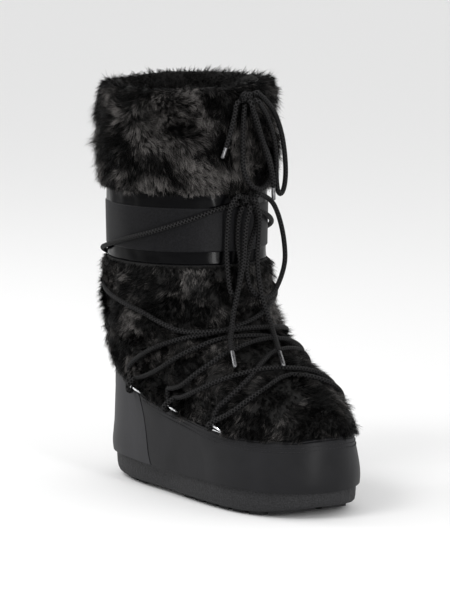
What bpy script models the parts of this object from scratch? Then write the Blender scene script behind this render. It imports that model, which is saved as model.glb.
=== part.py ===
"""Apres ski boot: a lined shaft boot with a moulded sole, a smooth rand, long fur and a lace round the ankle.

Metres. +X is the toe, +Z is up, and the origin is on the floor under the heel. The boot is symmetric
about the plane y = 0, and its near side is -Y. Every wrapped piece is drawn on one surface, the last,
by how far round it goes, from 0 at the heel through 0.5 at the toe and back to 1, and by its height.
"""
import math

import bpy
import numpy as np

# Last: one row for each level, in metres, with the roundness of the toe and heel ends
LAST_COLUMNS = ("height", "back", "front", "half_width", "widest", "toe_power", "heel_power")
LAST = (
    (0.0180, -0.0600, 0.2430, 0.0610, 0.150, 2.12, 3.2),
    (0.0320, -0.0630, 0.2445, 0.0620, 0.148, 2.12, 3.2),
    (0.0500, -0.0620, 0.2430, 0.0612, 0.140, 2.12, 3.1),
    (0.0700, -0.0610, 0.2385, 0.0600, 0.125, 2.12, 3.0),
    (0.0850, -0.0610, 0.2260, 0.0595, 0.105, 2.20, 2.9),
    (0.1000, -0.0610, 0.2000, 0.0600, 0.085, 2.15, 2.7),
    (0.1150, -0.0610, 0.1640, 0.0605, 0.065, 2.10, 2.6),
    (0.1300, -0.0615, 0.1290, 0.0615, 0.045, 2.05, 2.5),
    (0.1450, -0.0620, 0.1110, 0.0625, 0.030, 2.00, 2.4),
    (0.1650, -0.0620, 0.1010, 0.0635, 0.020, 2.00, 2.3),
    (0.1900, -0.0615, 0.0940, 0.0645, 0.015, 2.00, 2.2),
    (0.2200, -0.0610, 0.0890, 0.0655, 0.014, 2.00, 2.1),
    (0.2600, -0.0605, 0.0880, 0.0670, 0.014, 2.00, 2.1),
    (0.3000, -0.0600, 0.0880, 0.0665, 0.014, 2.00, 2.1),
    (0.3720, -0.0590, 0.0880, 0.0660, 0.014, 2.00, 2.1),
)
LEVEL_STEP = 0.002
LEVELS = np.arange(0.018, 0.3721, LEVEL_STEP)
ROUND_STEPS = 360

# Levels and thicknesses
FLOOR = 0.0
SOLE_TOP = 0.0237
SEAT = 0.0240
COLLAR_TOP = 0.3500
WALL = 0.0040
WALL_COLUMNS = 48
WALL_ROWS = (
    0.032, 0.045, 0.058, 0.070, 0.080, 0.090, 0.103, 0.117, 0.131, 0.146, 0.165, 0.185, 0.205, 0.225, 0.290,
)
GAP = 0.0008
SEAM_GAP = 0.0009

# Panels
RAND_THICK = 0.0024
PANEL_ROUND = 0.0009
SEAM_TOP = 0.0855
BAND_LOW = 0.2050
BAND_HIGH = 0.2690
BAND_THICK = 0.0018
PANEL_LOW = 0.2160
PANEL_HIGH = 0.2555
PANEL_RISE = 0.0012
BINDING_CHANNEL = 0.0056

# Top edge of the rand and counter along the boot, and the slanted seam between them
EDGE_COLUMNS = ("along", "height")
RAND_EDGE = (
    (-0.066, 0.1230), (-0.050, 0.1130), (-0.030, 0.1075), (-0.012, 0.1020), (0.008, 0.0930),
    (0.027, 0.0855), (0.068, 0.0785), (0.100, 0.0745), (0.143, 0.0685), (0.171, 0.0658),
    (0.205, 0.0650), (0.229, 0.0655), (0.241, 0.0680), (0.250, 0.0685),
)
SEAM_COLUMNS = ("height", "along")
COUNTER_SEAM = ((0.022, 0.0540), (0.040, 0.0455), (0.065, 0.0360), (0.086, 0.0265), (0.120, 0.0200))

# Fur
FUR_GAP = 0.0010
FUR_BACK_ROWS = WALL_ROWS[4:12]
LOWER_FUR = 0.0058
LOWER_LOCK = 0.0032
LOWER_THIN = 0.0012
CUFF_LOW = 0.2700
CUFF_FUR = 0.0108
CUFF_LOCK = 0.0032
CUFF_TOP = 0.3660
CUFF_INNER = -0.0034
BOW_WIDTH = 0.10

# Wire loops along the near side, mirrored to the far side
RING_ALONG = (0.027, 0.090, 0.156)
RING_WIRE = 0.0011
RING_HALF_WIDTH = 0.0080
RING_HEIGHT = 0.0110
RING_FOOT = 0.0015
RING_LEAN = math.radians(60)
RING_SEAT = 0.0017
RING_ABOVE_EDGE = 0.0021
RING_POINTS = 12
RING_SIDES = 5

# Lace: its radius, and its distance out from the last on the fur and on the band
LACE_RADIUS = 0.00225
ON_FUR = 0.0102
ON_BAND = 0.0072
CROSS_RISE = 0.0016
TURN_RADIUS = 0.0042
TURN_COLUMNS = ("angle", "spread")
TURN = (
    (40, 1.0), (5, 0.9), (-30, 0.7), (-60, 0.4), (-90, 0.0), (-120, -0.4), (-150, -0.7), (-185, -0.9),
    (-215, -1.0),
)
LACE_CLEAR = 0.016
LACE_GAP = 0.0016
LEG_SPREAD = 0.0026
LACE_SIDES = 6

# The foot lace's two halves: runs over the boot, listed from the toe bar up, between the loops.
# Each run has rows of a share of the way round and a height. The loop that follows it has a number
# from the heel, 0 to 2, and a side.
RUN_COLUMNS = ("around", "height")
NEAR_HALF = (
    (((0.500, 0.1095), (0.475, 0.1070), (0.428, 0.0965), (0.380, 0.0840)), (2, "near")),
    (((0.368, 0.0885), (0.402, 0.0980), (0.440, 0.1085), (0.480, 0.1190), (0.525, 0.1250), (0.590, 0.1220),
      (0.655, 0.1090), (0.700, 0.0980), (0.714, 0.0945)), (1, "far")),
    (((0.707, 0.1005), (0.690, 0.1050), (0.625, 0.1190), (0.560, 0.1320), (0.500, 0.1380), (0.442, 0.1370),
      (0.382, 0.1280), (0.289, 0.1140), (0.225, 0.1045), (0.198, 0.1015)), (0, "near")),
    (((0.186, 0.1085), (0.225, 0.1175), (0.285, 0.1270), (0.370, 0.1370), (0.443, 0.1440), (0.506, 0.1530),
      (0.576, 0.1670), (0.660, 0.1770), (0.740, 0.1830), (0.830, 0.1880), (0.920, 0.1920), (1.000, 0.1950)), None),
)
FAR_HALF = (
    (((0.500, 0.1095), (0.525, 0.1060), (0.572, 0.0965), (0.620, 0.0840)), (2, "far")),
    (((0.632, 0.0885), (0.592, 0.0985), (0.550, 0.1080), (0.508, 0.1125), (0.463, 0.1130), (0.400, 0.1070),
      (0.349, 0.1000), (0.305, 0.0935), (0.288, 0.0925)), (1, "near")),
    (((0.280, 0.0985), (0.318, 0.1025), (0.371, 0.1125), (0.442, 0.1255), (0.500, 0.1330), (0.560, 0.1310),
      (0.640, 0.1190), (0.715, 0.1080), (0.775, 0.1035), (0.802, 0.1015)), (0, "far")),
    (((0.814, 0.1085), (0.775, 0.1175), (0.715, 0.1270), (0.630, 0.1370), (0.560, 0.1425), (0.500, 0.1450),
      (0.454, 0.1440), (0.406, 0.1430), (0.376, 0.1460), (0.346, 0.1530), (0.312, 0.1610), (0.278, 0.1660),
      (0.190, 0.1760), (0.100, 0.1855), (0.000, 0.1930)), None),
)
# The wrap from the back up over the band to the knot, on the near side; the far one mirrors it
BAND_RUN = (
    (0.022, 0.1965), (0.080, 0.2020), (0.150, 0.2110), (0.221, 0.2190), (0.339, 0.2340), (0.417, 0.2465),
    (0.458, 0.2540),
)

# Knots: centre and half sizes in millimetres
COLLAR_KNOT = ((106.2, 2.6, 354.0), (5.3, 6.8, 5.8))
LACE_KNOT = ((97.8, 8.5, 262.0), (5.2, 6.6, 5.4))
KNOT_GAP = 0.6
KNOT_LEAD = 6.5
WRAP_EXITS = ((-0.28, -0.90, -0.32), (-0.35, 0.91, -0.21))

# Free cords in millimetres: the direction each leaves its knot by, its route of hand-picked points,
# and the direction it comes back by, or the length of the metal tip that it ends in
CORD_COLUMNS = ("name", "knot", "leave", "route", "back", "tip")
CORDS = (
    ("collar_loop_near", COLLAR_KNOT, (0.0, -0.20, -0.98), (
        (105.6, 0.6, 338), (105.0, 0, 322), (105.0, 0, 306), (105.0, 0.4, 291), (104.9, 4.7, 280.6),
        (104.1, 11.8, 274), (102.1, 21.1, 271), (99.0, 30.0, 275), (96.4, 36.0, 283.5), (97.0, 34.3, 295),
        (99.8, 27.8, 307), (102.7, 18.8, 320), (105.2, 12.6, 332), (107.0, 9.6, 341),
    ), (0.10, 0.62, -0.78), 0),
    ("collar_loop_far", COLLAR_KNOT, (0.05, 0.95, 0.30), (
        (106.0, 15.0, 357.4), (103.2, 22.0, 353), (97.0, 35.7, 342.8), (91.0, 46.7, 329.7),
        (87.0, 54.3, 313.8), (85.0, 58.4, 296.3), (84.5, 59.4, 280.1), (86.0, 56.4, 267.8), (89.2, 50.6, 263.4),
        (92.0, 45.6, 268.4), (91.6, 44.6, 281), (93.0, 43.4, 299), (95.6, 38.3, 317), (101.2, 28.2, 335.3),
        (107.6, 16.4, 347.2),
    ), (0.42, 0.85, -0.30), 0),
    ("collar_end_near", COLLAR_KNOT, (-0.05, -0.90, -0.42), (
        (104.9, -6.8, 346), (104.5, -9.6, 334), (103.9, -13.4, 320), (103.2, -16.6, 310.6),
    ), None, 10.0),
    ("collar_end_far", COLLAR_KNOT, (0.88, 0.0, -0.48), (
        (114.0, 3.6, 346), (113.0, 8.4, 336), (110.4, 14.6, 323), (107.6, 20.6, 311), (106.0, 26.4, 298),
        (105.4, 31.2, 284), (105.2, 32.2, 272.6),
    ), None, 11.0),
    ("lace_loop_near", LACE_KNOT, (0.06, -0.61, -0.79), (
        (97.2, 1.6, 250), (96.6, 0.3, 237), (96.9, 0, 222.3), (102.5, -0.8, 208.1), (107.3, -4.7, 193.9),
        (110.2, -9.3, 182.4), (110.9, -12.4, 178.4), (109.5, -15.6, 181.7), (106.0, -15.6, 193.8),
        (101.6, -14.3, 208.1), (97.2, -11.8, 223.3), (97.4, -11.0, 238.2), (99.0, -10.8, 250),
        (100.6, -8.6, 260.0),
    ), (0.30, -0.88, 0.37), 0),
    ("lace_loop_far", LACE_KNOT, (0.19, 0.66, -0.73), (
        (98.2, 16.6, 252.5), (96.4, 20.2, 246.5), (95.0, 21.0, 240), (95.4, 17.2, 229.3), (98.4, 10.8, 216.9),
        (103.4, 4.8, 205.4), (107.7, 2.8, 195), (110.0, 4.8, 184.6), (110.9, 9.7, 178.6), (110.6, 16.9, 175.2),
        (107.5, 26.0, 175), (104.0, 34.0, 178.3), (100.0, 41.6, 185.5), (97.0, 47.9, 194.5),
        (94.0, 52.6, 205.5), (92.5, 53.0, 218.2), (91.5, 51.3, 231.7), (92.2, 46.2, 246.5), (94.6, 38.4, 258.0),
        (98.2, 27.5, 264.4),
    ), (0.35, 0.88, 0.33), 0),
    ("lace_end_near", LACE_KNOT, (0.70, -0.07, -0.71), (
        (104.0, 6.6, 250), (103.0, 4.4, 236), (104.0, 2.4, 220), (108.4, -1.6, 207), (112.6, -7.2, 195),
        (115.4, -12.2, 182), (118.0, -17.8, 167.2), (124.6, -24.6, 152.4), (133.2, -31.4, 143.6),
        (142.9, -36.0, 136.0),
    ), None, 20.0),
    ("lace_end_far", LACE_KNOT, (0.95, 0.28, 0.11), (
        (107.2, 13.4, 258.6), (107.2, 16.2, 248.5), (104.0, 18.0, 237), (103.4, 17.6, 225),
        (106.0, 14.8, 211.4), (111.7, 12.7, 192.9), (116.3, 13.0, 176.8), (120.5, 15.4, 163.5),
        (129.4, 14.9, 151.0), (142.9, 9.9, 142.2), (159.4, 2.6, 134.6),
    ), None, 24.0),
)
TIP_RADIUS = 0.0019
TIP_GAP = 0.4

# Sole: inset of its side at each level, and its bottom line along the boot
SIDE_COLUMNS = ("height", "inset")
SOLE_SIDE = (
    (0.0030, 0.0062), (0.0040, 0.0030), (0.0062, 0.0012), (0.0105, 0.0004), (0.0180, 0.0000),
    (SOLE_TOP, 0.0000),
)
SPRING_COLUMNS = ("along", "lift")
SOLE_SPRING = (
    (-0.064, 0.0078), (-0.052, 0.0040), (-0.040, 0.0014), (-0.026, 0.0), (0.100, 0.0), (0.186, 0.0),
    (0.205, 0.0014), (0.225, 0.0050), (0.246, 0.0100),
)
WAIST_INSET = 0.0030
WAIST_AT = 0.062
WAIST_LENGTH = 0.040
LUG_INSET = 0.0085
LUG_TOP = 0.0070
LUG_COLUMNS = ("start", "end")
LUG_BARS = (
    (-0.0500, -0.0360), (-0.0300, -0.0160), (-0.0100, 0.0040), (0.0100, 0.0240),
    (0.0940, 0.1080), (0.1140, 0.1280), (0.1340, 0.1480), (0.1540, 0.1680), (0.1740, 0.1880),
    (0.1940, 0.2070), (0.2130, 0.2250),
)
LUG_SPLIT = 0.0070
HEEL_BAR_LAP = 0.0010
LUG_SWEEP = 0.0060


def table_column(table, key, value, at):
    """Monotone cubic through two columns of a table, read at one place or many."""
    x = np.array([row[key] for row in table], float)
    y = np.array([row[value] for row in table], float)
    slope = np.diff(y) / np.diff(x)
    tangent = np.zeros_like(y)
    tangent[0], tangent[-1] = slope[0], slope[-1]
    for i in range(1, len(y) - 1):
        if slope[i - 1] * slope[i] > 0:
            left, right = x[i] - x[i - 1], x[i + 1] - x[i]
            w1, w2 = 2 * right + left, right + 2 * left
            tangent[i] = (w1 + w2) / (w1 / slope[i - 1] + w2 / slope[i])
    at = np.clip(np.asarray(at, float), x[0], x[-1])
    i = np.clip(np.searchsorted(x, at, side="right") - 1, 0, len(x) - 2)
    span = x[i + 1] - x[i]
    u = (at - x[i]) / span
    return (
        y[i] * (1 + 2 * u) * (1 - u) ** 2 + tangent[i] * span * u * (1 - u) ** 2
        + y[i + 1] * u * u * (3 - 2 * u) + tangent[i + 1] * span * u * u * (u - 1)
    )


def last_level(height):
    """One closed level of the last, evenly spaced, from the heel round the near side."""
    back, front, half_width, widest, toe_power, heel_power = (
        float(table_column(LAST, 0, i, height)) for i in range(1, len(LAST_COLUMNS))
    )
    turn = np.linspace(0.0, math.pi, 241)
    forward = -np.cos(turn)
    power = np.where(forward > 0, toe_power, heel_power)
    reach = np.where(forward > 0, front - widest, widest - back)
    x = widest + reach * np.sign(forward) * np.abs(forward) ** (2 / power)
    y = -half_width * np.abs(np.sin(turn)) ** (2 / power)
    run = np.r_[0.0, np.cumsum(np.hypot(np.diff(x), np.diff(y)))]
    even = np.linspace(0.0, run[-1], ROUND_STEPS // 2 + 1)
    x, y = np.interp(even, run, x), np.interp(even, run, y)
    x, y = np.r_[x, x[1:-1][::-1]], np.r_[y, -y[1:-1][::-1]]
    return np.stack([x, y, np.full_like(x, height)], axis=1)


def last_normals(surface):
    """Outward normals of the whole surface."""
    around = np.roll(surface, -1, 1) - np.roll(surface, 1, 1)
    up = np.gradient(surface, axis=0)
    normal = np.cross(around, up)
    return normal / np.linalg.norm(normal, axis=2, keepdims=True)


SURFACE = np.stack([last_level(height) for height in LEVELS])
NORMALS = last_normals(SURFACE)


def on_last(around, height, out=0.0):
    """The point at a share of the way round, a height and a distance out from the last."""
    column = (around % 1.0) * ROUND_STEPS
    row = min(max((height - LEVELS[0]) / LEVEL_STEP, 0.0), len(LEVELS) - 1.001)
    c, r = int(column) % ROUND_STEPS, int(row)
    fc, fr = column - int(column), row - r
    point, normal = np.zeros(3), np.zeros(3)
    for dr, wr in ((0, 1 - fr), (1, fr)):
        for dc, wc in ((0, 1 - fc), (1, fc)):
            point += wr * wc * SURFACE[r + dr, (c + dc) % ROUND_STEPS]
            normal += wr * wc * NORMALS[r + dr, (c + dc) % ROUND_STEPS]
    return point + out * normal / np.linalg.norm(normal)


def round_at(along, height):
    """How far round the near side the last reaches a place along the boot."""
    row = min(max(int(round((height - LEVELS[0]) / LEVEL_STEP)), 0), len(LEVELS) - 1)
    half = SURFACE[row, :ROUND_STEPS // 2 + 1, 0]
    return float(np.interp(along, half, np.arange(len(half)) / ROUND_STEPS))


def rand_edge(around):
    """Height of the rand's top edge at a share of the way round."""
    height = 0.08
    for _ in range(12):
        height = float(table_column(RAND_EDGE, 0, 1, on_last(around, height)[0]))
    return height


def material(name, color, roughness, metallic=0.0):
    mat = bpy.data.materials.new(name)
    mat.use_nodes = True
    shader = mat.node_tree.nodes["Principled BSDF"]
    shader.inputs["Base Color"].default_value = (*color, 1.0)
    shader.inputs["Roughness"].default_value = roughness
    shader.inputs["Metallic"].default_value = metallic
    mat.diffuse_color = (*color, 1.0)
    return mat


def solid(name, points, faces, mat, smooth=40.0):
    """A mesh object from points and faces that already form one closed body."""
    mesh = bpy.data.meshes.new(name)
    mesh.from_pydata([tuple(p) for p in points], [], faces)
    mesh.validate()
    mesh.materials.append(mat)
    mesh.shade_smooth()
    mesh.set_sharp_from_angle(angle=math.radians(smooth))
    obj = bpy.data.objects.new(name, mesh)
    bpy.context.scene.collection.objects.link(obj)
    return obj


def wrapped(name, loops, closed, mat, smooth=40.0):
    """A solid swept round the last: one loop of points for each column, listed outside up, inside down."""
    count, size = len(loops), len(loops[0])
    points = [point for loop in loops for point in loop]
    faces = []
    for c in range(count if closed else count - 1):
        d = (c + 1) % count
        for k in range(size):
            m = (k + 1) % size
            faces.append((c * size + k, d * size + k, d * size + m, c * size + m))
    if not closed:
        last = (count - 1) * size
        for k in range(size // 2 - 1):
            strip = (k, k + 1, size - 2 - k, size - 1 - k)
            faces.append(strip)
            faces.append(tuple(last + corner for corner in reversed(strip)))
    return solid(name, points, faces, mat, smooth)


def boolean(obj, other, operation):
    """Applies an exact Boolean between two objects and removes the second."""
    modifier = obj.modifiers.new(operation.title(), "BOOLEAN")
    modifier.operation = operation
    modifier.solver = "EXACT"
    modifier.object = other
    depsgraph = bpy.context.evaluated_depsgraph_get()
    mesh = bpy.data.meshes.new_from_object(obj.evaluated_get(depsgraph))
    obj.modifiers.clear()
    obj.data = mesh
    bpy.data.objects.remove(other)


def outline(height, inset, columns):
    """A level of the last moved in along its own normals."""
    level = last_level(height)
    around = np.roll(level, -1, 0) - np.roll(level, 1, 0)
    normal = np.stack([around[:, 1], -around[:, 0]], axis=1)
    normal /= np.linalg.norm(normal, axis=1, keepdims=True)
    step = ROUND_STEPS // columns
    inset = np.asarray(inset) * np.ones(ROUND_STEPS)
    points = level.copy()
    points[:, :2] -= normal * inset[:, None]
    return points[::step]


def spline(rows, steps):
    """A smooth curve through rows of numbers, with so many steps between each two."""
    knots = [np.array(row, float) for row in rows]
    knots = [2 * knots[0] - knots[1], *knots, 2 * knots[-1] - knots[-2]]
    fine = []
    for a, b, c, d in zip(knots, knots[1:], knots[2:], knots[3:]):
        for u in np.linspace(0.0, 1.0, steps, endpoint=False):
            fine.append(0.5 * (
                2 * b + (c - a) * u + (2 * a - 5 * b + 4 * c - d) * u ** 2 + (3 * b - a - 3 * c + d) * u ** 3
            ))
    fine.append(knots[-2])
    return fine


def smooth_path(route, closest, widest, turn):
    """Points along a smooth curve through a route, closer together where it bends."""
    fine = spline(route, 16)
    kept = [fine[0]]
    heading, run, bend = fine[1] - fine[0], 0.0, 0.0
    for before, point in zip(fine, fine[1:]):
        step = point - before
        length = np.linalg.norm(step)
        if length < 1e-9:
            continue
        cosine = float(np.dot(step, heading)) / (length * np.linalg.norm(heading))
        bend += math.acos(max(-1.0, min(1.0, cosine)))
        heading, run = step, run + length
        if run >= widest or (bend >= turn and run >= closest):
            kept.append(point)
            run, bend = 0.0, 0.0
    if np.linalg.norm(kept[-1] - fine[-1]) < closest and len(kept) > 1:
        kept.pop()
    kept.append(fine[-1])
    return kept


def tube(name, path, radius, sides, mat, closed=False):
    """A round solid along a path, its cross-section carried along without twist."""
    count = len(path)
    points, faces = [], []
    side = None
    for i, point in enumerate(path):
        if closed:
            ahead = path[(i + 1) % count] - path[i - 1]
        else:
            ahead = path[min(i + 1, count - 1)] - path[max(i - 1, 0)]
        ahead = ahead / np.linalg.norm(ahead)
        if side is None:
            side = np.cross(ahead, (0.0, 0.0, 1.0) if abs(ahead[2]) < 0.9 else (1.0, 0.0, 0.0))
        side = side - ahead * float(np.dot(side, ahead))
        side /= np.linalg.norm(side)
        other = np.cross(ahead, side)
        for k in range(sides):
            angle = 2 * math.pi * k / sides
            points.append(point + radius * (math.cos(angle) * side + math.sin(angle) * other))
    for i in range(count if closed else count - 1):
        j = (i + 1) % count
        for k in range(sides):
            m = (k + 1) % sides
            faces.append((i * sides + k, i * sides + m, j * sides + m, j * sides + k))
    if not closed:
        faces.append(tuple(reversed(range(sides))))
        faces.append(tuple(range((count - 1) * sides, count * sides)))
    return solid(name, points, faces, mat, 60.0)


def ring_frame(number, side):
    """Seat of a wire loop and its directions: along the boot, out from it and up its wall."""
    along = RING_ALONG[number]
    height = float(table_column(RAND_EDGE, 0, 1, along)) + RING_ABOVE_EDGE
    around = round_at(along, height)
    seat = on_last(around, height)
    ahead = on_last(around + 0.008, rand_edge(around + 0.008)) - on_last(around - 0.008, rand_edge(around - 0.008))
    out = on_last(around, height, 0.001) - seat
    out /= np.linalg.norm(out)
    ahead -= out * float(np.dot(ahead, out))
    ahead /= np.linalg.norm(ahead)
    up = np.cross(out, ahead)
    if side == "far":
        mirror = np.array([1.0, -1.0, 1.0])
        seat, ahead, out, up = seat * mirror, ahead * mirror, out * mirror, up * mirror
    return seat, ahead, out, up


def ring_path(number, side):
    """The closed wire of one loop: a D whose flat side lies on the boot and whose bow leans out."""
    seat, ahead, out, up = ring_frame(number, side)
    lean = math.sin(RING_LEAN) * out + math.cos(RING_LEAN) * up
    path = []
    for k in range(RING_POINTS):
        angle = 2 * math.pi * k / RING_POINTS
        rise = RING_FOOT * (1 + math.sin(angle))
        if math.sin(angle) > 0:
            rise = RING_FOOT + (RING_HEIGHT - RING_FOOT) * math.sin(angle)
        path.append(seat + RING_SEAT * out + RING_HALF_WIDTH * math.cos(angle) * ahead + rise * lean)
    return path


def build_rings():
    wire = material("ring_wire", (0.75, 0.76, 0.78), 0.18, 1.0)
    for side in ("near", "far"):
        for number in range(len(RING_ALONG)):
            path = ring_path(number, side)
            if side == "far":
                path.reverse()
            tube(f"lace_ring_{side}_{number + 1}", path, RING_WIRE, RING_SIDES, wire, closed=True)


def ring_turn(loop, before, after):
    """The lace's turn round the bow of a loop: down over the wire, through the loop and up behind it."""
    seat, ahead, out, up = ring_frame(*loop)
    top = seat + (RING_SEAT + RING_HEIGHT * math.sin(RING_LEAN)) * out + RING_HEIGHT * math.cos(RING_LEAN) * up
    toward = (before + after) / 2 - top
    slant = max(-0.9, min(0.9, float(np.dot(toward, ahead)) / float(np.dot(toward, up))))
    first = 1.0 if float(np.dot(before - after, ahead)) > 0 else -1.0
    turn = []
    for angle, spread in TURN:
        place = top + first * spread * LEG_SPREAD * ahead
        place = place + TURN_RADIUS * math.cos(math.radians(angle)) * out
        pull = up + (slant if angle > 0 or angle < -180 else 0.25 * slant) * ahead
        turn.append(place + TURN_RADIUS * math.sin(math.radians(angle)) * pull)
    return turn


def knot_exit(knot, direction, clear=KNOT_GAP):
    """The point just off a knot's surface, above where a direction from its centre meets it, in metres."""
    half = np.array(knot[1])
    surface = np.array(direction) / np.linalg.norm(np.array(direction) / half)
    normal = surface / half ** 2
    return (np.array(knot[0]) + surface + clear * normal / np.linalg.norm(normal)) / 1000.0


def lace_half(mirrored):
    """Route of one half of the foot lace, from the middle of the toe bar to the knot."""
    rise = CROSS_RISE if mirrored else 0.0
    half = FAR_HALF if mirrored else NEAR_HALF
    runs = []
    for run, _ in half:
        rows = spline(run, 5)
        swell = np.sin(np.linspace(0.0, math.pi, len(rows)))
        runs.append([on_last(*row, ON_FUR + rise * lift) for row, lift in zip(rows, swell)])
    route = []
    for i, (_, loop) in enumerate(half):
        route += runs[i]
        if loop:
            route += ring_turn(loop, runs[i][-1], runs[i + 1][0])
    for around, height in spline(BAND_RUN, 5):
        share = min(max((height - BAND_LOW + 0.003) / 0.010, 0.0), 1.0)
        out = ON_FUR + (ON_BAND - ON_FUR) * share * share * (3 - 2 * share)
        route.append(on_last(1.0 - around if mirrored else around, height, out))
    leave = WRAP_EXITS[1 if mirrored else 0]
    return route + [knot_exit(LACE_KNOT, leave, KNOT_LEAD), knot_exit(LACE_KNOT, leave)]


def build_lace():
    """The foot lace's bars, crossings and wraps as one joined solid."""
    braid = material("lace_braid", (0.016, 0.016, 0.018), 0.70)
    near = smooth_path(lace_half(False), 0.0022, 0.012, 0.55)
    far = smooth_path(lace_half(True), 0.0022, 0.012, 0.55)
    lace = tube("lace_crossings", near, LACE_RADIUS, LACE_SIDES, braid)
    boolean(lace, tube("lace_far_half", far, LACE_RADIUS, LACE_SIDES, braid), "UNION")
    lace.data.shade_smooth()


def build_knot(name, place, mat):
    """A knot pulled tight into a rounded ball."""
    centre, half = np.array(place[0]) / 1000.0, np.array(place[1]) / 1000.0
    sides, rows = 12, 7
    points, faces = [centre + (0, -half[1], 0)], []
    for r in range(1, rows):
        across = -math.cos(math.pi * r / rows)
        swell = math.sqrt(1 - across ** 2)
        for k in range(sides):
            angle = 2 * math.pi * k / sides
            shape = np.array([math.cos(angle) * swell, across, math.sin(angle) * swell])
            points.append(centre + half * shape)
    points.append(centre + (0, half[1], 0))
    for r in range(rows - 2):
        for k in range(sides):
            m = (k + 1) % sides
            a, b = 1 + r * sides, 1 + (r + 1) * sides
            faces.append((a + k, b + k, b + m, a + m))
    end = len(points) - 1
    for k in range(sides):
        m = (k + 1) % sides
        faces.append((0, 1 + k, 1 + m))
        faces.append((end, 1 + (rows - 2) * sides + m, 1 + (rows - 2) * sides + k))
    return solid(name, points, faces, mat, 60.0)


def cord_route(knot, leave, route, back):
    """A free cord's route in metres, radial where it leaves its knot and where it comes back."""
    points = [knot_exit(knot, leave), knot_exit(knot, leave, KNOT_LEAD)]
    points += [np.array(place) / 1000.0 for place in route]
    if back:
        points += [knot_exit(knot, back, KNOT_LEAD), knot_exit(knot, back)]
    return smooth_path(points, 0.0055, 0.0135, 0.42)


def free_cord(name, path, mat):
    """A cord as a curve object with a round bevel and filled caps."""
    curve = bpy.data.curves.new(name, "CURVE")
    curve.dimensions = "3D"
    curve.bevel_depth = LACE_RADIUS
    curve.bevel_resolution = 2
    curve.use_fill_caps = True
    spline_points = curve.splines.new("POLY").points
    spline_points.add(len(path) - 1)
    for point, place in zip(spline_points, path):
        point.co = (*place, 1.0)
    curve.materials.append(mat)
    obj = bpy.data.objects.new(name, curve)
    bpy.context.scene.collection.objects.link(obj)
    return obj


def build_bows():
    """The collar drawstring's bow and the foot lace's bow: knots, loops, ends and metal tips."""
    cord = material("cord_braid", (0.016, 0.016, 0.018), 0.70)
    metal = material("cord_tip", (0.55, 0.56, 0.58), 0.25, 1.0)
    build_knot("collar_knot", COLLAR_KNOT, cord)
    build_knot("lace_knot", LACE_KNOT, cord)
    for name, knot, leave, route, back, tip in CORDS:
        path = cord_route(knot, leave, route, back)
        free_cord(name, path, cord)
        if tip:
            ahead = (path[-1] - path[-2]) / np.linalg.norm(path[-1] - path[-2])
            ends = [path[-1] + ahead * reach / 1000.0 for reach in (TIP_GAP, TIP_GAP + tip)]
            tube(name.replace("end", "tip"), ends, TIP_RADIUS, 6, metal)


def build_outsole():
    """The sole unit: a stepped side, a waisted bottom, bars of lugs, spring at the toe and heel."""
    rubber = material("sole_rubber", (0.030, 0.030, 0.032), 0.78)
    columns = 60
    level = last_level(SEAT)
    waist = WAIST_INSET * np.exp(-(((level[:, 0] - WAIST_AT) / WAIST_LENGTH) ** 2))
    points, faces = [], []
    for height, inset in SOLE_SIDE:
        ring = outline(SEAT, inset + waist * (inset > 0 or height < SOLE_TOP), columns)
        ring[:, 2] = height
        points.extend(ring)
    rows = len(SOLE_SIDE)
    for r in range(rows - 1):
        for c in range(columns):
            d = (c + 1) % columns
            faces.append((r * columns + c, r * columns + d, (r + 1) * columns + d, (r + 1) * columns + c))
    half = columns // 2
    for start, flip in ((0, True), ((rows - 1) * columns, False)):
        near = [start + i for i in range(half + 1)]
        far = [start + (columns - i) % columns for i in range(half + 1)]
        for i in range(half):
            quad = [near[i], near[i + 1], far[i + 1], far[i]]
            quad = list(dict.fromkeys(quad))
            faces.append(tuple(reversed(quad)) if flip else tuple(quad))
    sole = solid("outsole", points, faces, rubber, 30.0)
    near_edge = outline(SEAT, LUG_INSET + waist, ROUND_STEPS)[:ROUND_STEPS // 2 + 1]
    for start, end in LUG_BARS:
        for side in (-1, 1):
            boolean(sole, lug(near_edge, start, end, side, rubber), "UNION")
    spring(sole)
    sole.data.shade_smooth()
    sole.data.set_sharp_from_angle(angle=math.radians(30))
    return sole


def lug(near_edge, start, end, side, mat):
    """One bar of the tread, from the middle split out to the sole's edge, swept back as it goes out."""
    def edge_width(x):
        return -float(np.interp(x, near_edge[:, 0], near_edge[:, 1]))
    inner = LUG_SPLIT / 2 if start > WAIST_AT else -HEEL_BAR_LAP
    corners = []
    for x in (start, end):
        corners.append((x, inner))
    for x in (end, start):
        outer = x - LUG_SWEEP
        corners.append((outer, max(edge_width(outer), inner + 0.004)))
    points = [(x, side * y, z) for z in (FLOOR, LUG_TOP) for x, y in corners]
    faces = [(3, 2, 1, 0), (4, 5, 6, 7), (0, 1, 5, 4), (1, 2, 6, 5), (2, 3, 7, 6), (3, 0, 4, 7)]
    if side < 0:
        faces = [tuple(reversed(face)) for face in faces]
    return solid("lug", points, faces, mat)


def spring(sole):
    """Lifts the bottom of the sole at the toe and heel, and leaves its top flat."""
    for vertex in sole.data.vertices:
        lift = float(table_column(SOLE_SPRING, 0, 1, vertex.co.x))
        vertex.co.z += lift * (1.0 - vertex.co.z / SOLE_TOP)


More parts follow.
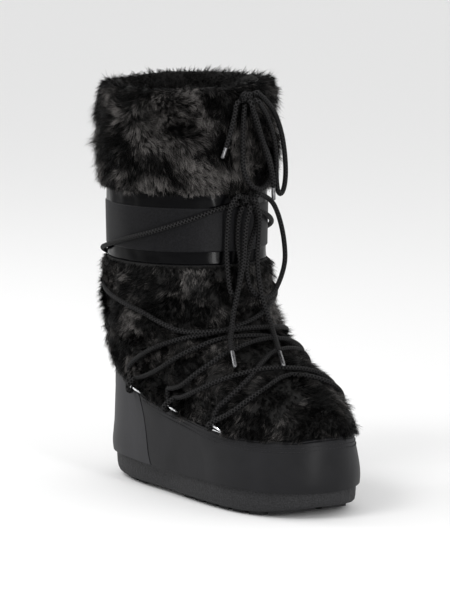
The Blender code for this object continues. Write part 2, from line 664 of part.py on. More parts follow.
def build_insole():
    felt = material("insole_felt", (0.05, 0.05, 0.055), 0.95)
    columns = WALL_COLUMNS
    rings = []
    for height, inset in ((SEAT, 0.0062), (0.0265, 0.0050), (0.0315, 0.0050), (0.0335, 0.0066)):
        ring = [on_last(c / columns, SEAT, -inset) for c in range(columns)]
        for point in ring:
            point[2] = height
        rings.append(ring)
    points = [p for ring in rings for p in ring]
    faces = []
    for r in range(len(rings) - 1):
        for c in range(columns):
            d = (c + 1) % columns
            faces.append((r * columns + c, r * columns + d, (r + 1) * columns + d, (r + 1) * columns + c))
    faces.append(tuple(reversed(range(columns))))
    faces.append(tuple(range((len(rings) - 1) * columns, len(rings) * columns)))
    return solid("insole", points, faces, felt, 30.0)


def build_upper():
    """The hollow boot: one wall from the sole to the collar, open at both ends."""
    lining = material("boot_lining", (0.035, 0.035, 0.038), 0.92)
    columns = WALL_COLUMNS
    outside = (SEAT, *WALL_ROWS, COLLAR_TOP)
    inside = (COLLAR_TOP, *WALL_ROWS[::-2], SEAT)
    loops = []
    for c in range(columns):
        loop = [on_last(c / columns, z) for z in outside]
        loop += [on_last(c / columns, z, -WALL) for z in inside]
        for point in loop:
            point[2] = min(max(point[2], SEAT), COLLAR_TOP)
        loop[-1][2] = loop[0][2] = SEAT
        loops.append(loop)
    return wrapped("upper", loops, True, lining)


def panel_loops(start, end, rows):
    """Loops of a panel that lies on the last, in the wall's own columns between two slanted seams."""
    arounds = [start]
    for c in range(-WALL_COLUMNS, WALL_COLUMNS):
        if max(start) + 0.004 < c / WALL_COLUMNS < min(end) - 0.004:
            arounds.append((c / WALL_COLUMNS, c / WALL_COLUMNS))
    arounds.append(end)
    loops = []
    for low_around, high_around in arounds:
        bottom, edge = SEAT + 0.0002, rand_edge(high_around)
        heights = [bottom, *WALL_ROWS[:rows], edge - PANEL_ROUND, edge]
        for k in range(rows, 0, -1):
            heights[k] = min(heights[k], heights[k + 1] - 0.0006)
        outside, inside = [], []
        for height in heights:
            share = (height - bottom) / (edge - bottom)
            around = low_around + (high_around - low_around) * share
            thick = RAND_THICK - (PANEL_ROUND if height == edge else 0.0)
            outside.append(on_last(around, height, GAP + thick))
            inside.append(on_last(around, height, GAP))
        loops.append(outside + inside[::-1])
    return loops


def seam_round(height, gap):
    """How far round the counter's seam is, moved forward by a gap."""
    return round_at(float(table_column(COUNTER_SEAM, 0, 1, height)) + gap, height)


def build_rand():
    """The panel round the toe and both sides, from one counter seam to the other."""
    coated = material("rand_coated", (0.040, 0.040, 0.043), 0.55)
    low, high = seam_round(SEAT, SEAM_GAP), seam_round(SEAM_TOP, SEAM_GAP)
    loops = panel_loops((low, high), (1.0 - low, 1.0 - high), 4)
    return wrapped("foot_rand", loops, False, coated)


def build_counter():
    """The panel round the heel, higher at the back."""
    coated = material("counter_coated", (0.055, 0.055, 0.060), 0.60)
    low, high = seam_round(SEAT, -SEAM_GAP), seam_round(SEAM_TOP, -SEAM_GAP)
    loops = panel_loops((-low, -high), (low, high), 7)
    return wrapped("heel_counter", loops, False, coated)


def build_band():
    """The band round the shaft with its raised panel."""
    glossy = material("band_glossy", (0.012, 0.012, 0.013), 0.22)
    columns = WALL_COLUMNS
    step = 0.0010
    profile = (
        (BAND_LOW, BAND_THICK - step), (BAND_LOW + step, BAND_THICK),
        (PANEL_LOW, BAND_THICK), (PANEL_LOW + step, BAND_THICK + PANEL_RISE),
        (PANEL_HIGH - step, BAND_THICK + PANEL_RISE), (PANEL_HIGH, BAND_THICK),
        (BAND_HIGH - step, BAND_THICK), (BAND_HIGH, BAND_THICK - step),
    )
    loops = []
    for c in range(columns):
        around = c / columns
        loop = [on_last(around, z, GAP + out) for z, out in profile]
        loop += [on_last(around, z, GAP) for z in (BAND_HIGH, WALL_ROWS[-2], BAND_LOW)]
        loops.append(loop)
    return wrapped("shaft_band", loops, True, glossy, 25.0)


def even_heights(around, low, high, count):
    """Heights from low to high, evenly spaced along the slope of the last."""
    heights = np.linspace(low, high, 60)
    line = np.array([on_last(around, z) for z in heights])
    run = np.r_[0.0, np.cumsum(np.linalg.norm(np.diff(line, axis=0), axis=1))]
    return np.interp(np.linspace(0.0, run[-1], count), run, heights)


def lock_shape(column, row, width, rows_per_lock):
    """Relief of the pile from 0 between locks to 1 at a lock's tip, in shifted courses like shingles."""
    course = row // rows_per_lock
    shift = (course % 2) * width / 2 + 0.9 * math.sin(course * 2.1)
    across = 0.5 + 0.5 * math.cos(2 * math.pi * (column + shift) / width)
    return across * (1.0 if row % rows_per_lock == 0 else 0.25)


def build_fur_lower():
    """Pile from the rand to the band: a base with courses of locks, pressed flat under the lace."""
    pile = material("fur_lower", (0.022, 0.019, 0.017), 0.65)
    columns, rows = WALL_COLUMNS, 12
    lace = np.array(lace_half(False) + lace_half(True))
    above = np.array([np.linalg.norm(SURFACE - place, axis=2).min() for place in lace])
    loops = []
    for c in range(columns):
        around = c / columns
        low = rand_edge(around) + BINDING_CHANNEL
        heights = even_heights(around, low, BAND_LOW - SEAM_GAP, rows)
        loop = []
        for r, height in enumerate(heights):
            relief = lock_shape(c, r, 3.0, 2) if 0 < r < rows - 1 else 0.0
            out = LOWER_FUR * (0.45 if r in (0, rows - 1) else 1.0) + LOWER_LOCK * relief
            close = np.linalg.norm(lace - on_last(around, height, LOWER_FUR), axis=1) < LACE_CLEAR
            if close.any():
                out = max(min(out, above[close].min() - LACE_RADIUS - LACE_GAP - FUR_GAP), LOWER_THIN)
                relief = 0.0
            drop = 0.30 * relief * (heights[1] - heights[0])
            loop.append(on_last(around, height - drop, FUR_GAP + out))
        backing = [low]
        for height in FUR_BACK_ROWS:
            backing.append(max(height, backing[-1] + 0.0005))
        backing.append(BAND_LOW - SEAM_GAP)
        loop += [on_last(around, height, FUR_GAP) for height in reversed(backing)]
        loops.append(loop)
    return wrapped("fur_lower", loops, True, pile, 60.0)


def build_fur_cuff():
    """The fur collar: a thick roll that hangs over the band and turns in over the rim."""
    pile = material("fur_cuff", (0.024, 0.021, 0.019), 0.65)
    columns = WALL_COLUMNS
    outer = (
        (CUFF_LOW, 0.30, 0.0), (CUFF_LOW - 0.0005, 0.80, 1.0), (0.283, 0.98, 0.25), (0.296, 1.0, 1.0),
        (0.309, 1.0, 0.25), (0.322, 1.0, 1.0), (0.335, 1.0, 0.25), (0.347, 0.95, 0.8), (0.357, 0.80, 0.2),
    )
    loops = []
    for c in range(columns):
        around = c / columns
        loop = []
        for r, (height, share, tip) in enumerate(outer):
            course = (r + 1) // 2
            across = 0.5 + 0.5 * math.cos(2 * math.pi * (c + (course % 2) * 2.0) / 4.0 + course)
            pressed = 0.3 if abs(around - 0.5) < BOW_WIDTH else 1.0
            out = CUFF_FUR * share + CUFF_LOCK * tip * across * pressed
            loop.append(on_last(around, height, FUR_GAP + out))
        wave = 0.0016 * math.cos(2 * math.pi * c / 4.0)
        loop.append(on_last(around, CUFF_TOP - 0.0018 + wave, 0.0052))
        loop.append(on_last(around, CUFF_TOP - 0.0022 - wave, 0.0002))
        loop.append(on_last(around, 0.3590, CUFF_INNER))
        loop.append(on_last(around, COLLAR_TOP + 0.0006, CUFF_INNER))
        loop.append(on_last(around, COLLAR_TOP + 0.0006, FUR_GAP))
        loop.append(on_last(around, 0.3100, FUR_GAP))
        loop.append(on_last(around, CUFF_LOW, FUR_GAP))
        loops.append(loop)
    return wrapped("fur_cuff", loops, True, pile, 60.0)


def build():
    for obj in list(bpy.data.objects):
        bpy.data.objects.remove(obj, do_unlink=True)
    build_outsole()
    build_insole()
    build_upper()
    build_rand()
    build_counter()
    build_fur_lower()
    build_band()
    build_fur_cuff()
    build_rings()
    build_lace()
    build_bows()


build()
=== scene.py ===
"""Apres ski boot, dressed: long fur, braided laces, coated panels, a glossy band and a moulded sole.

Metres, in the CAD's frame: +X is the toe, +Z is up, and the boot's near side is -Y. Everything that
wraps the boot lies on one surface, the last, by how far round it goes and by its height.
"""
import math

import bmesh
import bpy
import numpy as np
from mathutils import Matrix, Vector, kdtree


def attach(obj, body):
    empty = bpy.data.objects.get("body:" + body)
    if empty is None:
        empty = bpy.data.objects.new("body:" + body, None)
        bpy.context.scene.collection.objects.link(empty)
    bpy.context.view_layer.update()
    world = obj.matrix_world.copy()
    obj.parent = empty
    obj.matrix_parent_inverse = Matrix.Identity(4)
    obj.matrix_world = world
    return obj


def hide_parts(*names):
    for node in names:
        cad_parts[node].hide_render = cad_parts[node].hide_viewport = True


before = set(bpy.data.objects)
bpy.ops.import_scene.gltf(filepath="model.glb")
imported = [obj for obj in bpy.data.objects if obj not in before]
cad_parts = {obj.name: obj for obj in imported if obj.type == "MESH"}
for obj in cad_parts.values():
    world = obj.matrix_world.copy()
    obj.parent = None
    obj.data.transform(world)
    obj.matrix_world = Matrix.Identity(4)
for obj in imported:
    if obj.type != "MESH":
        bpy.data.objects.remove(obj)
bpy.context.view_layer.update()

# Last: one row for each level, in metres, with the roundness of the toe and heel ends
LAST_COLUMNS = ("height", "back", "front", "half_width", "widest", "toe_power", "heel_power")
LAST = (
    (0.0180, -0.0600, 0.2430, 0.0610, 0.150, 2.12, 3.2),
    (0.0320, -0.0630, 0.2445, 0.0620, 0.148, 2.12, 3.2),
    (0.0500, -0.0620, 0.2430, 0.0612, 0.140, 2.12, 3.1),
    (0.0700, -0.0610, 0.2385, 0.0600, 0.125, 2.12, 3.0),
    (0.0850, -0.0610, 0.2260, 0.0595, 0.105, 2.20, 2.9),
    (0.1000, -0.0610, 0.2000, 0.0600, 0.085, 2.15, 2.7),
    (0.1150, -0.0610, 0.1640, 0.0605, 0.065, 2.10, 2.6),
    (0.1300, -0.0615, 0.1290, 0.0615, 0.045, 2.05, 2.5),
    (0.1450, -0.0620, 0.1110, 0.0625, 0.030, 2.00, 2.4),
    (0.1650, -0.0620, 0.1010, 0.0635, 0.020, 2.00, 2.3),
    (0.1900, -0.0615, 0.0940, 0.0645, 0.015, 2.00, 2.2),
    (0.2200, -0.0610, 0.0890, 0.0655, 0.014, 2.00, 2.1),
    (0.2600, -0.0605, 0.0880, 0.0670, 0.014, 2.00, 2.1),
    (0.3000, -0.0600, 0.0880, 0.0665, 0.014, 2.00, 2.1),
    (0.3720, -0.0590, 0.0880, 0.0660, 0.014, 2.00, 2.1),
)
LEVEL_STEP = 0.002
LEVELS = np.arange(LAST[0][0], LAST[-1][0] + 0.0001, LEVEL_STEP)
ROUND_STEPS = 360
SEAT = 0.0240  # height at which the panels meet the sole
GAP = 0.0008  # from the last to the back of a panel or band
FUR_GAP = 0.0010  # from the last to the back of the pile's backing

# Panels, as in the CAD
RAND_THICK = 0.0024
SEAM_GAP = 0.0009
BAND_LOW, BAND_HIGH = 0.2050, 0.2690
PANEL_LOW, PANEL_HIGH = 0.2160, 0.2555
BAND_THICK, PANEL_RISE = 0.0018, 0.0012
RAND_EDGE = (
    (-0.066, 0.1230), (-0.050, 0.1130), (-0.030, 0.1075), (-0.012, 0.1020), (0.008, 0.0930),
    (0.027, 0.0855), (0.068, 0.0785), (0.100, 0.0745), (0.143, 0.0685), (0.171, 0.0658),
    (0.205, 0.0650), (0.229, 0.0655), (0.241, 0.0680), (0.250, 0.0685),
)
COUNTER_SEAM = ((0.022, 0.0540), (0.040, 0.0455), (0.065, 0.0360), (0.086, 0.0265), (0.120, 0.0200))
SEAM_TOP = 0.0855
SHARP_ANGLE = 50.0
BAND_COLUMNS = 220
BAND_EDGE_ROWS = np.array([0.0, 0.0002, 0.0006, 0.0012])
BAND_EDGE_WIDTH = 0.0012
STITCH_LINES = (0.0040, 0.0072)
SEAM_STITCH_LINES = (0.0035, 0.0062)
STITCH_OUT = GAP + RAND_THICK - 0.0001
STITCH_LENGTH, STITCH_PITCH, STITCH_RADIUS = 0.0026, 0.0036, 0.00032
CHANNEL_DEPTH, CHANNEL_WIDTH = 0.00035, 0.0007
STITCH_BOW = np.array([-0.9, 0.4, 0.75, 0.4, -0.9])

# Wire loops and lace, as in the CAD
RING_ALONG = (0.027, 0.090, 0.156)
RING_WIRE = 0.0011
RING_HALF_WIDTH = 0.0080
RING_HEIGHT = 0.0110
RING_FOOT = 0.0015
RING_LEAN = math.radians(60)
RING_SEAT = 0.0017
RING_ABOVE_EDGE = 0.0021
RING_REACH = 0.008  # how far round, each way, a loop takes the edge's direction from
LACE_RADIUS = 0.00225
CORD_STEP = 0.0024
CORD_SIDES = 12
ON_FUR, ON_BAND = 0.0084, 0.0072  # how far out of the last a lace's middle runs
SINK = 0.0034  # how much less than that behind the ankle
SINK_FROM, SINK_OVER = 0.21, 0.08
CROSS_RISE = 0.0016
TURN_RADIUS = 0.0042
TURN = (  # degrees round the wire, and how far toward the first or second leg
    (40, 1.0), (5, 0.9), (-30, 0.7), (-60, 0.4), (-90, 0.0), (-120, -0.4), (-150, -0.7), (-185, -0.9),
    (-215, -1.0),
)
LEG_SPREAD = 0.0026
MOST_SLANT = 0.9
# Each half of the lace from the toe bar up: places round and up the last, then the loop it turns in
NEAR_HALF = (
    (((0.500, 0.1095), (0.475, 0.1070), (0.428, 0.0965), (0.380, 0.0840)), (2, "near")),
    (((0.368, 0.0885), (0.402, 0.0980), (0.440, 0.1085), (0.480, 0.1190), (0.525, 0.1250), (0.590, 0.1220),
      (0.655, 0.1090), (0.700, 0.0980), (0.714, 0.0945)), (1, "far")),
    (((0.707, 0.1005), (0.690, 0.1050), (0.625, 0.1190), (0.560, 0.1320), (0.500, 0.1380), (0.442, 0.1370),
      (0.382, 0.1280), (0.289, 0.1140), (0.225, 0.1045), (0.198, 0.1015)), (0, "near")),
    (((0.186, 0.1085), (0.225, 0.1175), (0.285, 0.1270), (0.370, 0.1370), (0.443, 0.1440), (0.506, 0.1530),
      (0.576, 0.1670), (0.660, 0.1770), (0.740, 0.1830), (0.830, 0.1880), (0.920, 0.1920),
      (1.000, 0.1950)), None),
)
FAR_HALF = (
    (((0.500, 0.1095), (0.525, 0.1060), (0.572, 0.0965), (0.620, 0.0840)), (2, "far")),
    (((0.632, 0.0885), (0.592, 0.0985), (0.550, 0.1080), (0.508, 0.1125), (0.463, 0.1130), (0.400, 0.1070),
      (0.349, 0.1000), (0.305, 0.0935), (0.288, 0.0925)), (1, "near")),
    (((0.280, 0.0985), (0.318, 0.1025), (0.371, 0.1125), (0.442, 0.1255), (0.500, 0.1330), (0.560, 0.1310),
      (0.640, 0.1190), (0.715, 0.1080), (0.775, 0.1035), (0.802, 0.1015)), (0, "far")),
    (((0.814, 0.1085), (0.775, 0.1175), (0.715, 0.1270), (0.630, 0.1370), (0.560, 0.1425), (0.500, 0.1450),
      (0.454, 0.1440), (0.406, 0.1430), (0.376, 0.1460), (0.346, 0.1530), (0.312, 0.1610), (0.278, 0.1660),
      (0.190, 0.1760), (0.100, 0.1855), (0.000, 0.1930)), None),
)
BAND_RUN = (
    (0.022, 0.1965), (0.080, 0.2020), (0.150, 0.2110), (0.221, 0.2190), (0.339, 0.2340), (0.417, 0.2465),
    (0.458, 0.2540),
)

# Bows, in millimetres: each knot's centre and half sizes, and the cords that leave it
COLLAR_KNOT = ((106.2, 2.6, 354.0), (5.3, 6.8, 5.8))
LACE_KNOT = ((97.8, 8.5, 262.0), (5.2, 6.6, 5.4))
KNOT_GAP = 0.6
KNOT_LEAD = 6.5
WRAP_EXITS = ((-0.28, -0.90, -0.32), (-0.35, 0.91, -0.21))
CORDS = (  # name, knot, way out, route, way back in, and length of the metal tip
    ("collar_loop_near", COLLAR_KNOT, (0.0, -0.20, -0.98), (
        (105.6, 0.6, 338), (105.0, 0, 322), (105.0, 0, 306), (105.0, 0.4, 291), (104.9, 4.7, 280.6),
        (104.1, 11.8, 274), (102.1, 21.1, 271), (99.0, 30.0, 275), (96.4, 36.0, 283.5), (97.0, 34.3, 295),
        (99.8, 27.8, 307), (102.7, 18.8, 320), (105.2, 12.6, 332), (107.0, 9.6, 341),
    ), (0.10, 0.62, -0.78), 0),
    ("collar_loop_far", COLLAR_KNOT, (0.05, 0.95, 0.30), (
        (106.0, 15.0, 357.4), (103.2, 22.0, 353), (97.0, 35.7, 342.8), (91.0, 46.7, 329.7),
        (87.0, 54.3, 313.8), (85.0, 58.4, 296.3), (84.5, 59.4, 280.1), (86.0, 56.4, 267.8),
        (89.2, 50.6, 263.4), (92.0, 45.6, 268.4), (91.6, 44.6, 281), (93.0, 43.4, 299), (95.6, 38.3, 317),
        (101.2, 28.2, 335.3), (107.6, 16.4, 347.2),
    ), (0.42, 0.85, -0.30), 0),
    ("collar_end_near", COLLAR_KNOT, (-0.05, -0.90, -0.42), (
        (104.9, -6.8, 346), (104.5, -9.6, 334), (103.9, -13.4, 320), (103.2, -16.6, 310.6),
    ), None, 10.0),
    ("collar_end_far", COLLAR_KNOT, (0.88, 0.0, -0.48), (
        (114.0, 3.6, 346), (113.0, 8.4, 336), (110.4, 14.6, 323), (107.6, 20.6, 311), (106.0, 26.4, 298),
        (105.4, 31.2, 284), (105.2, 32.2, 272.6),
    ), None, 11.0),
    ("lace_loop_near", LACE_KNOT, (0.06, -0.61, -0.79), (
        (97.2, 1.6, 250), (96.6, 0.3, 237), (96.9, 0, 222.3), (102.5, -0.8, 208.1), (107.3, -4.7, 193.9),
        (110.2, -9.3, 182.4), (110.9, -12.4, 178.4), (109.5, -15.6, 181.7), (106.0, -15.6, 193.8),
        (101.6, -14.3, 208.1), (97.2, -11.8, 223.3), (97.4, -11.0, 238.2), (99.0, -10.8, 250),
        (100.6, -8.6, 260.0),
    ), (0.30, -0.88, 0.37), 0),
    ("lace_loop_far", LACE_KNOT, (0.19, 0.66, -0.73), (
        (98.2, 16.6, 252.5), (96.4, 20.2, 246.5), (95.0, 21.0, 240), (95.4, 17.2, 229.3),
        (98.4, 10.8, 216.9), (103.4, 4.8, 205.4), (107.7, 2.8, 195), (110.0, 4.8, 184.6),
        (110.9, 9.7, 178.6), (110.6, 16.9, 175.2), (107.5, 26.0, 175), (104.0, 34.0, 178.3),
        (100.0, 41.6, 185.5), (97.0, 47.9, 194.5), (94.0, 52.6, 205.5), (92.5, 53.0, 218.2),
        (91.5, 51.3, 231.7), (92.2, 46.2, 246.5), (94.6, 38.4, 258.0), (98.2, 27.5, 264.4),
    ), (0.35, 0.88, 0.33), 0),
    ("lace_end_near", LACE_KNOT, (0.70, -0.07, -0.71), (
        (104.0, 6.6, 250), (103.0, 4.4, 236), (104.0, 2.4, 220), (108.4, -1.6, 207), (112.6, -7.2, 195),
        (115.4, -12.2, 182), (118.0, -17.8, 167.2), (124.6, -24.6, 152.4), (133.2, -31.4, 143.6),
        (142.9, -36.0, 136.0),
    ), None, 20.0),
    ("lace_end_far", LACE_KNOT, (0.95, 0.28, 0.11), (
        (107.2, 13.4, 258.6), (107.2, 16.2, 248.5), (104.0, 18.0, 237), (103.4, 17.6, 225),
        (106.0, 14.8, 211.4), (111.7, 12.7, 192.9), (116.3, 13.0, 176.8), (120.5, 15.4, 163.5),
        (129.4, 14.9, 151.0), (142.9, 9.9, 142.2), (159.4, 2.6, 134.6),
    ), None, 24.0),
)
KNOT_LACE, KNOT_INSET = 0.86 * LACE_RADIUS, 0.30
KNOT_TURNS = ((-0.42, 12, 0.80), (0.0, -10, 0.92), (0.42, 14, 0.80))  # place, tilt in degrees and size
TIP_RADIUS = 0.0019
TIP_GAP = 0.4
TIP_PROFILE = np.array((  # share of the tip's length, and of its radius
    (0.0, 0.92), (0.04, 1.0), (0.10, 0.90), (0.16, 1.0), (0.22, 0.88), (0.30, 1.0), (0.92, 0.96),
    (0.98, 0.86), (1.0, 0.62),
))

# Pile
STRANDS = 124000
STRAND_WIDTH = 0.00030
STRANDS_A_LOCK = 14
STRAND_SPREAD, LOCK_SPREAD = 0.19, 0.26
CLUMP, ARCH = 0.45, 0.12
FACES_A_PIECE = 195000
PRESS_REACH = 0.0038
SKIN_COLUMNS, SKIN_ROWS = 150, 44
SHADE, PAINTED_LIGHT_PATCHES = 0.34, ((0.34, 0.040), (0.24, 0.014))  # base of the pile's painted light, then its patches of painted highlight and painted shade: each wave's strength and size
LOWER_SWIRL, CUFF_SWIRL = ((0.75, 0.085), (0.45, 0.034)), ((0.50, 0.080), (0.40, 0.030))
LOWER_LENGTH, CUFF_LENGTH = 0.0100, 0.0122
RIM_NEAR, RIM_FAR = -0.0010, 0.0042
CUFF_SKIN = np.array((  # height and distance out of the last, from the lower edge over the rim
    (0.2700, 0.0014), (0.2702, 0.0050), (0.2730, 0.0066), (0.2850, 0.0074), (0.3000, 0.0078),
    (0.3200, 0.0078), (0.3400, 0.0076), (0.3500, 0.0070), (0.3570, 0.0055), (0.3605, 0.0030),
    (0.3612, 0.0004), (0.3595, -0.0020), (0.3560, -0.0032), (0.3512, -0.0033),
))
CUFF_BACK = ((0.3506, -0.0032), (0.3506, FUR_GAP), (0.2700, FUR_GAP))

# Room: name, place, aim, size and power of each light
FLOOR_REACH = 22.0
LIGHTS = (
    ("key", (0.3, -1.6, 2.2), (0.05, 0.0, 0.18), (1.0, 0.8), 20.0),
    ("strip", (1.9, -0.2, 0.55), (0.05, 0.0, 0.2), (0.20, 1.3), 19.0),
    ("rim", (-1.5, -1.0, 1.2), (0.0, 0.0, 0.2), (0.8, 0.8), 12.0),
)

RNG = np.random.default_rng(7)


# ---- the last
def table_column(table, key, value, at):
    """Monotone cubic through two columns of a table, read at one place or many."""
    x = np.array([row[key] for row in table], float)
    y = np.array([row[value] for row in table], float)
    slope = np.diff(y) / np.diff(x)
    tangent = np.zeros_like(y)
    tangent[0], tangent[-1] = slope[0], slope[-1]
    for i in range(1, len(y) - 1):
        if slope[i - 1] * slope[i] > 0:
            left, right = x[i] - x[i - 1], x[i + 1] - x[i]
            w1, w2 = 2 * right + left, right + 2 * left
            tangent[i] = (w1 + w2) / (w1 / slope[i - 1] + w2 / slope[i])
    at = np.clip(np.asarray(at, float), x[0], x[-1])
    i = np.clip(np.searchsorted(x, at, side="right") - 1, 0, len(x) - 2)
    span = x[i + 1] - x[i]
    u = (at - x[i]) / span
    return (
        y[i] * (1 + 2 * u) * (1 - u) ** 2 + tangent[i] * span * u * (1 - u) ** 2
        + y[i + 1] * u * u * (3 - 2 * u) + tangent[i + 1] * span * u * u * (u - 1)
    )


def unit(vectors):
    """Vectors of any shape, each brought to a length of 1."""
    return vectors / np.linalg.norm(vectors, axis=-1, keepdims=True)


def last_level(height):
    """One closed level of the last, evenly spaced, from the heel round the near side."""
    back, front, half_width, widest, toe_power, heel_power = (
        float(table_column(LAST, 0, i, height)) for i in range(1, len(LAST_COLUMNS))
    )
    turn = np.linspace(0.0, math.pi, 241)
    forward = -np.cos(turn)
    power = np.where(forward > 0, toe_power, heel_power)
    reach = np.where(forward > 0, front - widest, widest - back)
    x = widest + reach * np.sign(forward) * np.abs(forward) ** (2 / power)
    y = -half_width * np.abs(np.sin(turn)) ** (2 / power)
    run = np.r_[0.0, np.cumsum(np.hypot(np.diff(x), np.diff(y)))]
    even = np.linspace(0.0, run[-1], ROUND_STEPS // 2 + 1)
    x, y = np.interp(even, run, x), np.interp(even, run, y)
    x, y = np.r_[x, x[1:-1][::-1]], np.r_[y, -y[1:-1][::-1]]
    return np.stack([x, y, np.full_like(x, height)], axis=1)


SURFACE = np.stack([last_level(height) for height in LEVELS])
NORMALS = unit(np.cross(np.roll(SURFACE, -1, 1) - np.roll(SURFACE, 1, 1), np.gradient(SURFACE, axis=0)))


def lay(around, height, out=0.0):
    """Points on the last, moved out along its normals, and those normals."""
    around, height, out = np.broadcast_arrays(
        np.asarray(around, float), np.asarray(height, float), np.asarray(out, float)
    )
    column = (around % 1.0) * ROUND_STEPS
    row = np.clip((height - LEVELS[0]) / LEVEL_STEP, 0.0, len(LEVELS) - 1.001)
    c, r = np.floor(column).astype(int) % ROUND_STEPS, np.floor(row).astype(int)
    d = (c + 1) % ROUND_STEPS
    fc, fr = (column - np.floor(column))[..., None], (row - r)[..., None]
    point = (1 - fr) * ((1 - fc) * SURFACE[r, c] + fc * SURFACE[r, d])
    point = point + fr * ((1 - fc) * SURFACE[r + 1, c] + fc * SURFACE[r + 1, d])
    normal = (1 - fr) * ((1 - fc) * NORMALS[r, c] + fc * NORMALS[r, d])
    normal = normal + fr * ((1 - fc) * NORMALS[r + 1, c] + fc * NORMALS[r + 1, d])
    normal = unit(normal)
    return point + out[..., None] * normal, normal


def round_at(along, height):
    """How far round the near side the last reaches a place along the boot."""
    row = min(max(int(round((height - LEVELS[0]) / LEVEL_STEP)), 0), len(LEVELS) - 1)
    half = SURFACE[row, :ROUND_STEPS // 2 + 1, 0]
    return float(np.interp(along, half, np.arange(len(half)) / ROUND_STEPS))


def rand_edge(around):
    """Height of the rand's top edge at shares of the way round."""
    around = np.asarray(around, float)
    height = np.full(around.shape, 0.08)
    for _ in range(12):
        height = table_column(RAND_EDGE, 0, 1, lay(around, height)[0][..., 0])
    return height


EDGE_ROUNDS = np.arange(721) / 720
EDGE_HEIGHTS = rand_edge(EDGE_ROUNDS)


def edge_at(around):
    return np.interp(np.asarray(around, float) % 1.0, EDGE_ROUNDS, EDGE_HEIGHTS)


def waves(points, size, seed, count=14):
    """A smooth random field over points in space, about -1 to 1, with features of about one size."""
    rng = np.random.default_rng(seed)
    value = np.zeros(points.shape[:-1])
    for _ in range(count):
        direction = rng.normal(size=3)
        direction *= 2 * math.pi / (size * rng.uniform(0.7, 1.6) * np.linalg.norm(direction))
        value += np.sin(points @ direction + rng.uniform(0, 2 * math.pi))
    return value / math.sqrt(count / 2)


# ---- meshes
def mesh_object(name, points, faces, mat, uvs=None, angle=None):
    """A smooth mesh object from points and faces of any size, with UVs for each point and a sharp angle."""
    mesh = bpy.data.meshes.new(name)
    points = np.asarray(points, np.float32)
    loops = np.concatenate([np.asarray(f, np.int32).ravel() for f in faces])
    sizes = np.concatenate([np.full(len(f), np.asarray(f).shape[1], np.int32) for f in faces])
    mesh.vertices.add(len(points))
    mesh.vertices.foreach_set("co", points.ravel())
    mesh.loops.add(len(loops))
    mesh.loops.foreach_set("vertex_index", loops)
    mesh.polygons.add(len(sizes))
    mesh.polygons.foreach_set("loop_start", np.r_[0, np.cumsum(sizes)[:-1]].astype(np.int32))
    mesh.update(calc_edges=True)
    if uvs is not None:
        layer = mesh.uv_layers.new(name="UVMap")
        layer.data.foreach_set("uv", np.asarray(uvs, np.float32)[loops].ravel())
    mesh.shade_smooth()
    if angle:
        mesh.set_sharp_from_angle(angle=math.radians(angle))
    mesh.materials.append(mat)
    obj = bpy.data.objects.new(name, mesh)
    bpy.context.scene.collection.objects.link(obj)
    return obj


def keep(obj, slot, *nodes):
    """A piece rides on the boot and replaces CAD nodes, which are hidden; slot, meant to name its finish, is
    not used.
    """
    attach(obj, "root")
    if nodes:
        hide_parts(*nodes)
    return obj


def spline(rows, steps):
    """A smooth curve through rows of numbers, with so many steps between each two."""
    knots = [np.array(row, float) for row in rows]
    knots = [2 * knots[0] - knots[1], *knots, 2 * knots[-1] - knots[-2]]
    fine = []
    for a, b, c, d in zip(knots, knots[1:], knots[2:], knots[3:]):
        for u in np.linspace(0.0, 1.0, steps, endpoint=False):
            fine.append(0.5 * (
                2 * b + (c - a) * u + (2 * a - 5 * b + 4 * c - d) * u ** 2 + (3 * b - a - 3 * c + d) * u ** 3
            ))
    fine.append(knots[-2])
    return np.array(fine)


def even_path(path, step):
    """The same path with points about a step apart."""
    path = np.asarray(path)
    run = run_of(path)
    count = max(int(round(run[-1] / step)), 2)
    at = np.linspace(0.0, run[-1], count + 1)
    return np.stack([np.interp(at, run, path[:, i]) for i in range(3)], axis=1)


def part_of(distance, over):
    """How much of a stretch a distance covers, from 0 to 1."""
    return np.clip(distance / over, 0.0, 1.0)


def ease(path, rounds):
    """Rounds off the kinks of a path and keeps its ends."""
    path = np.array(path)
    for _ in range(rounds):
        path[1:-1] = 0.25 * path[:-2] + 0.5 * path[1:-1] + 0.25 * path[2:]
    return path


def run_of(path):
    """How far along a path each of its points is."""
    return np.r_[0.0, np.cumsum(np.linalg.norm(np.diff(path, axis=0), axis=1))]


def quads_of(index, wrap_rows=False, wrap_columns=False):
    """Faces between the neighbours in a grid of point numbers."""
    if wrap_rows:
        index = np.vstack([index, index[:1]])
    if wrap_columns:
        index = np.hstack([index, index[:, :1]])
    return np.stack([index[:-1, :-1], index[:-1, 1:], index[1:, 1:], index[1:, :-1]], axis=2).reshape(-1, 4)


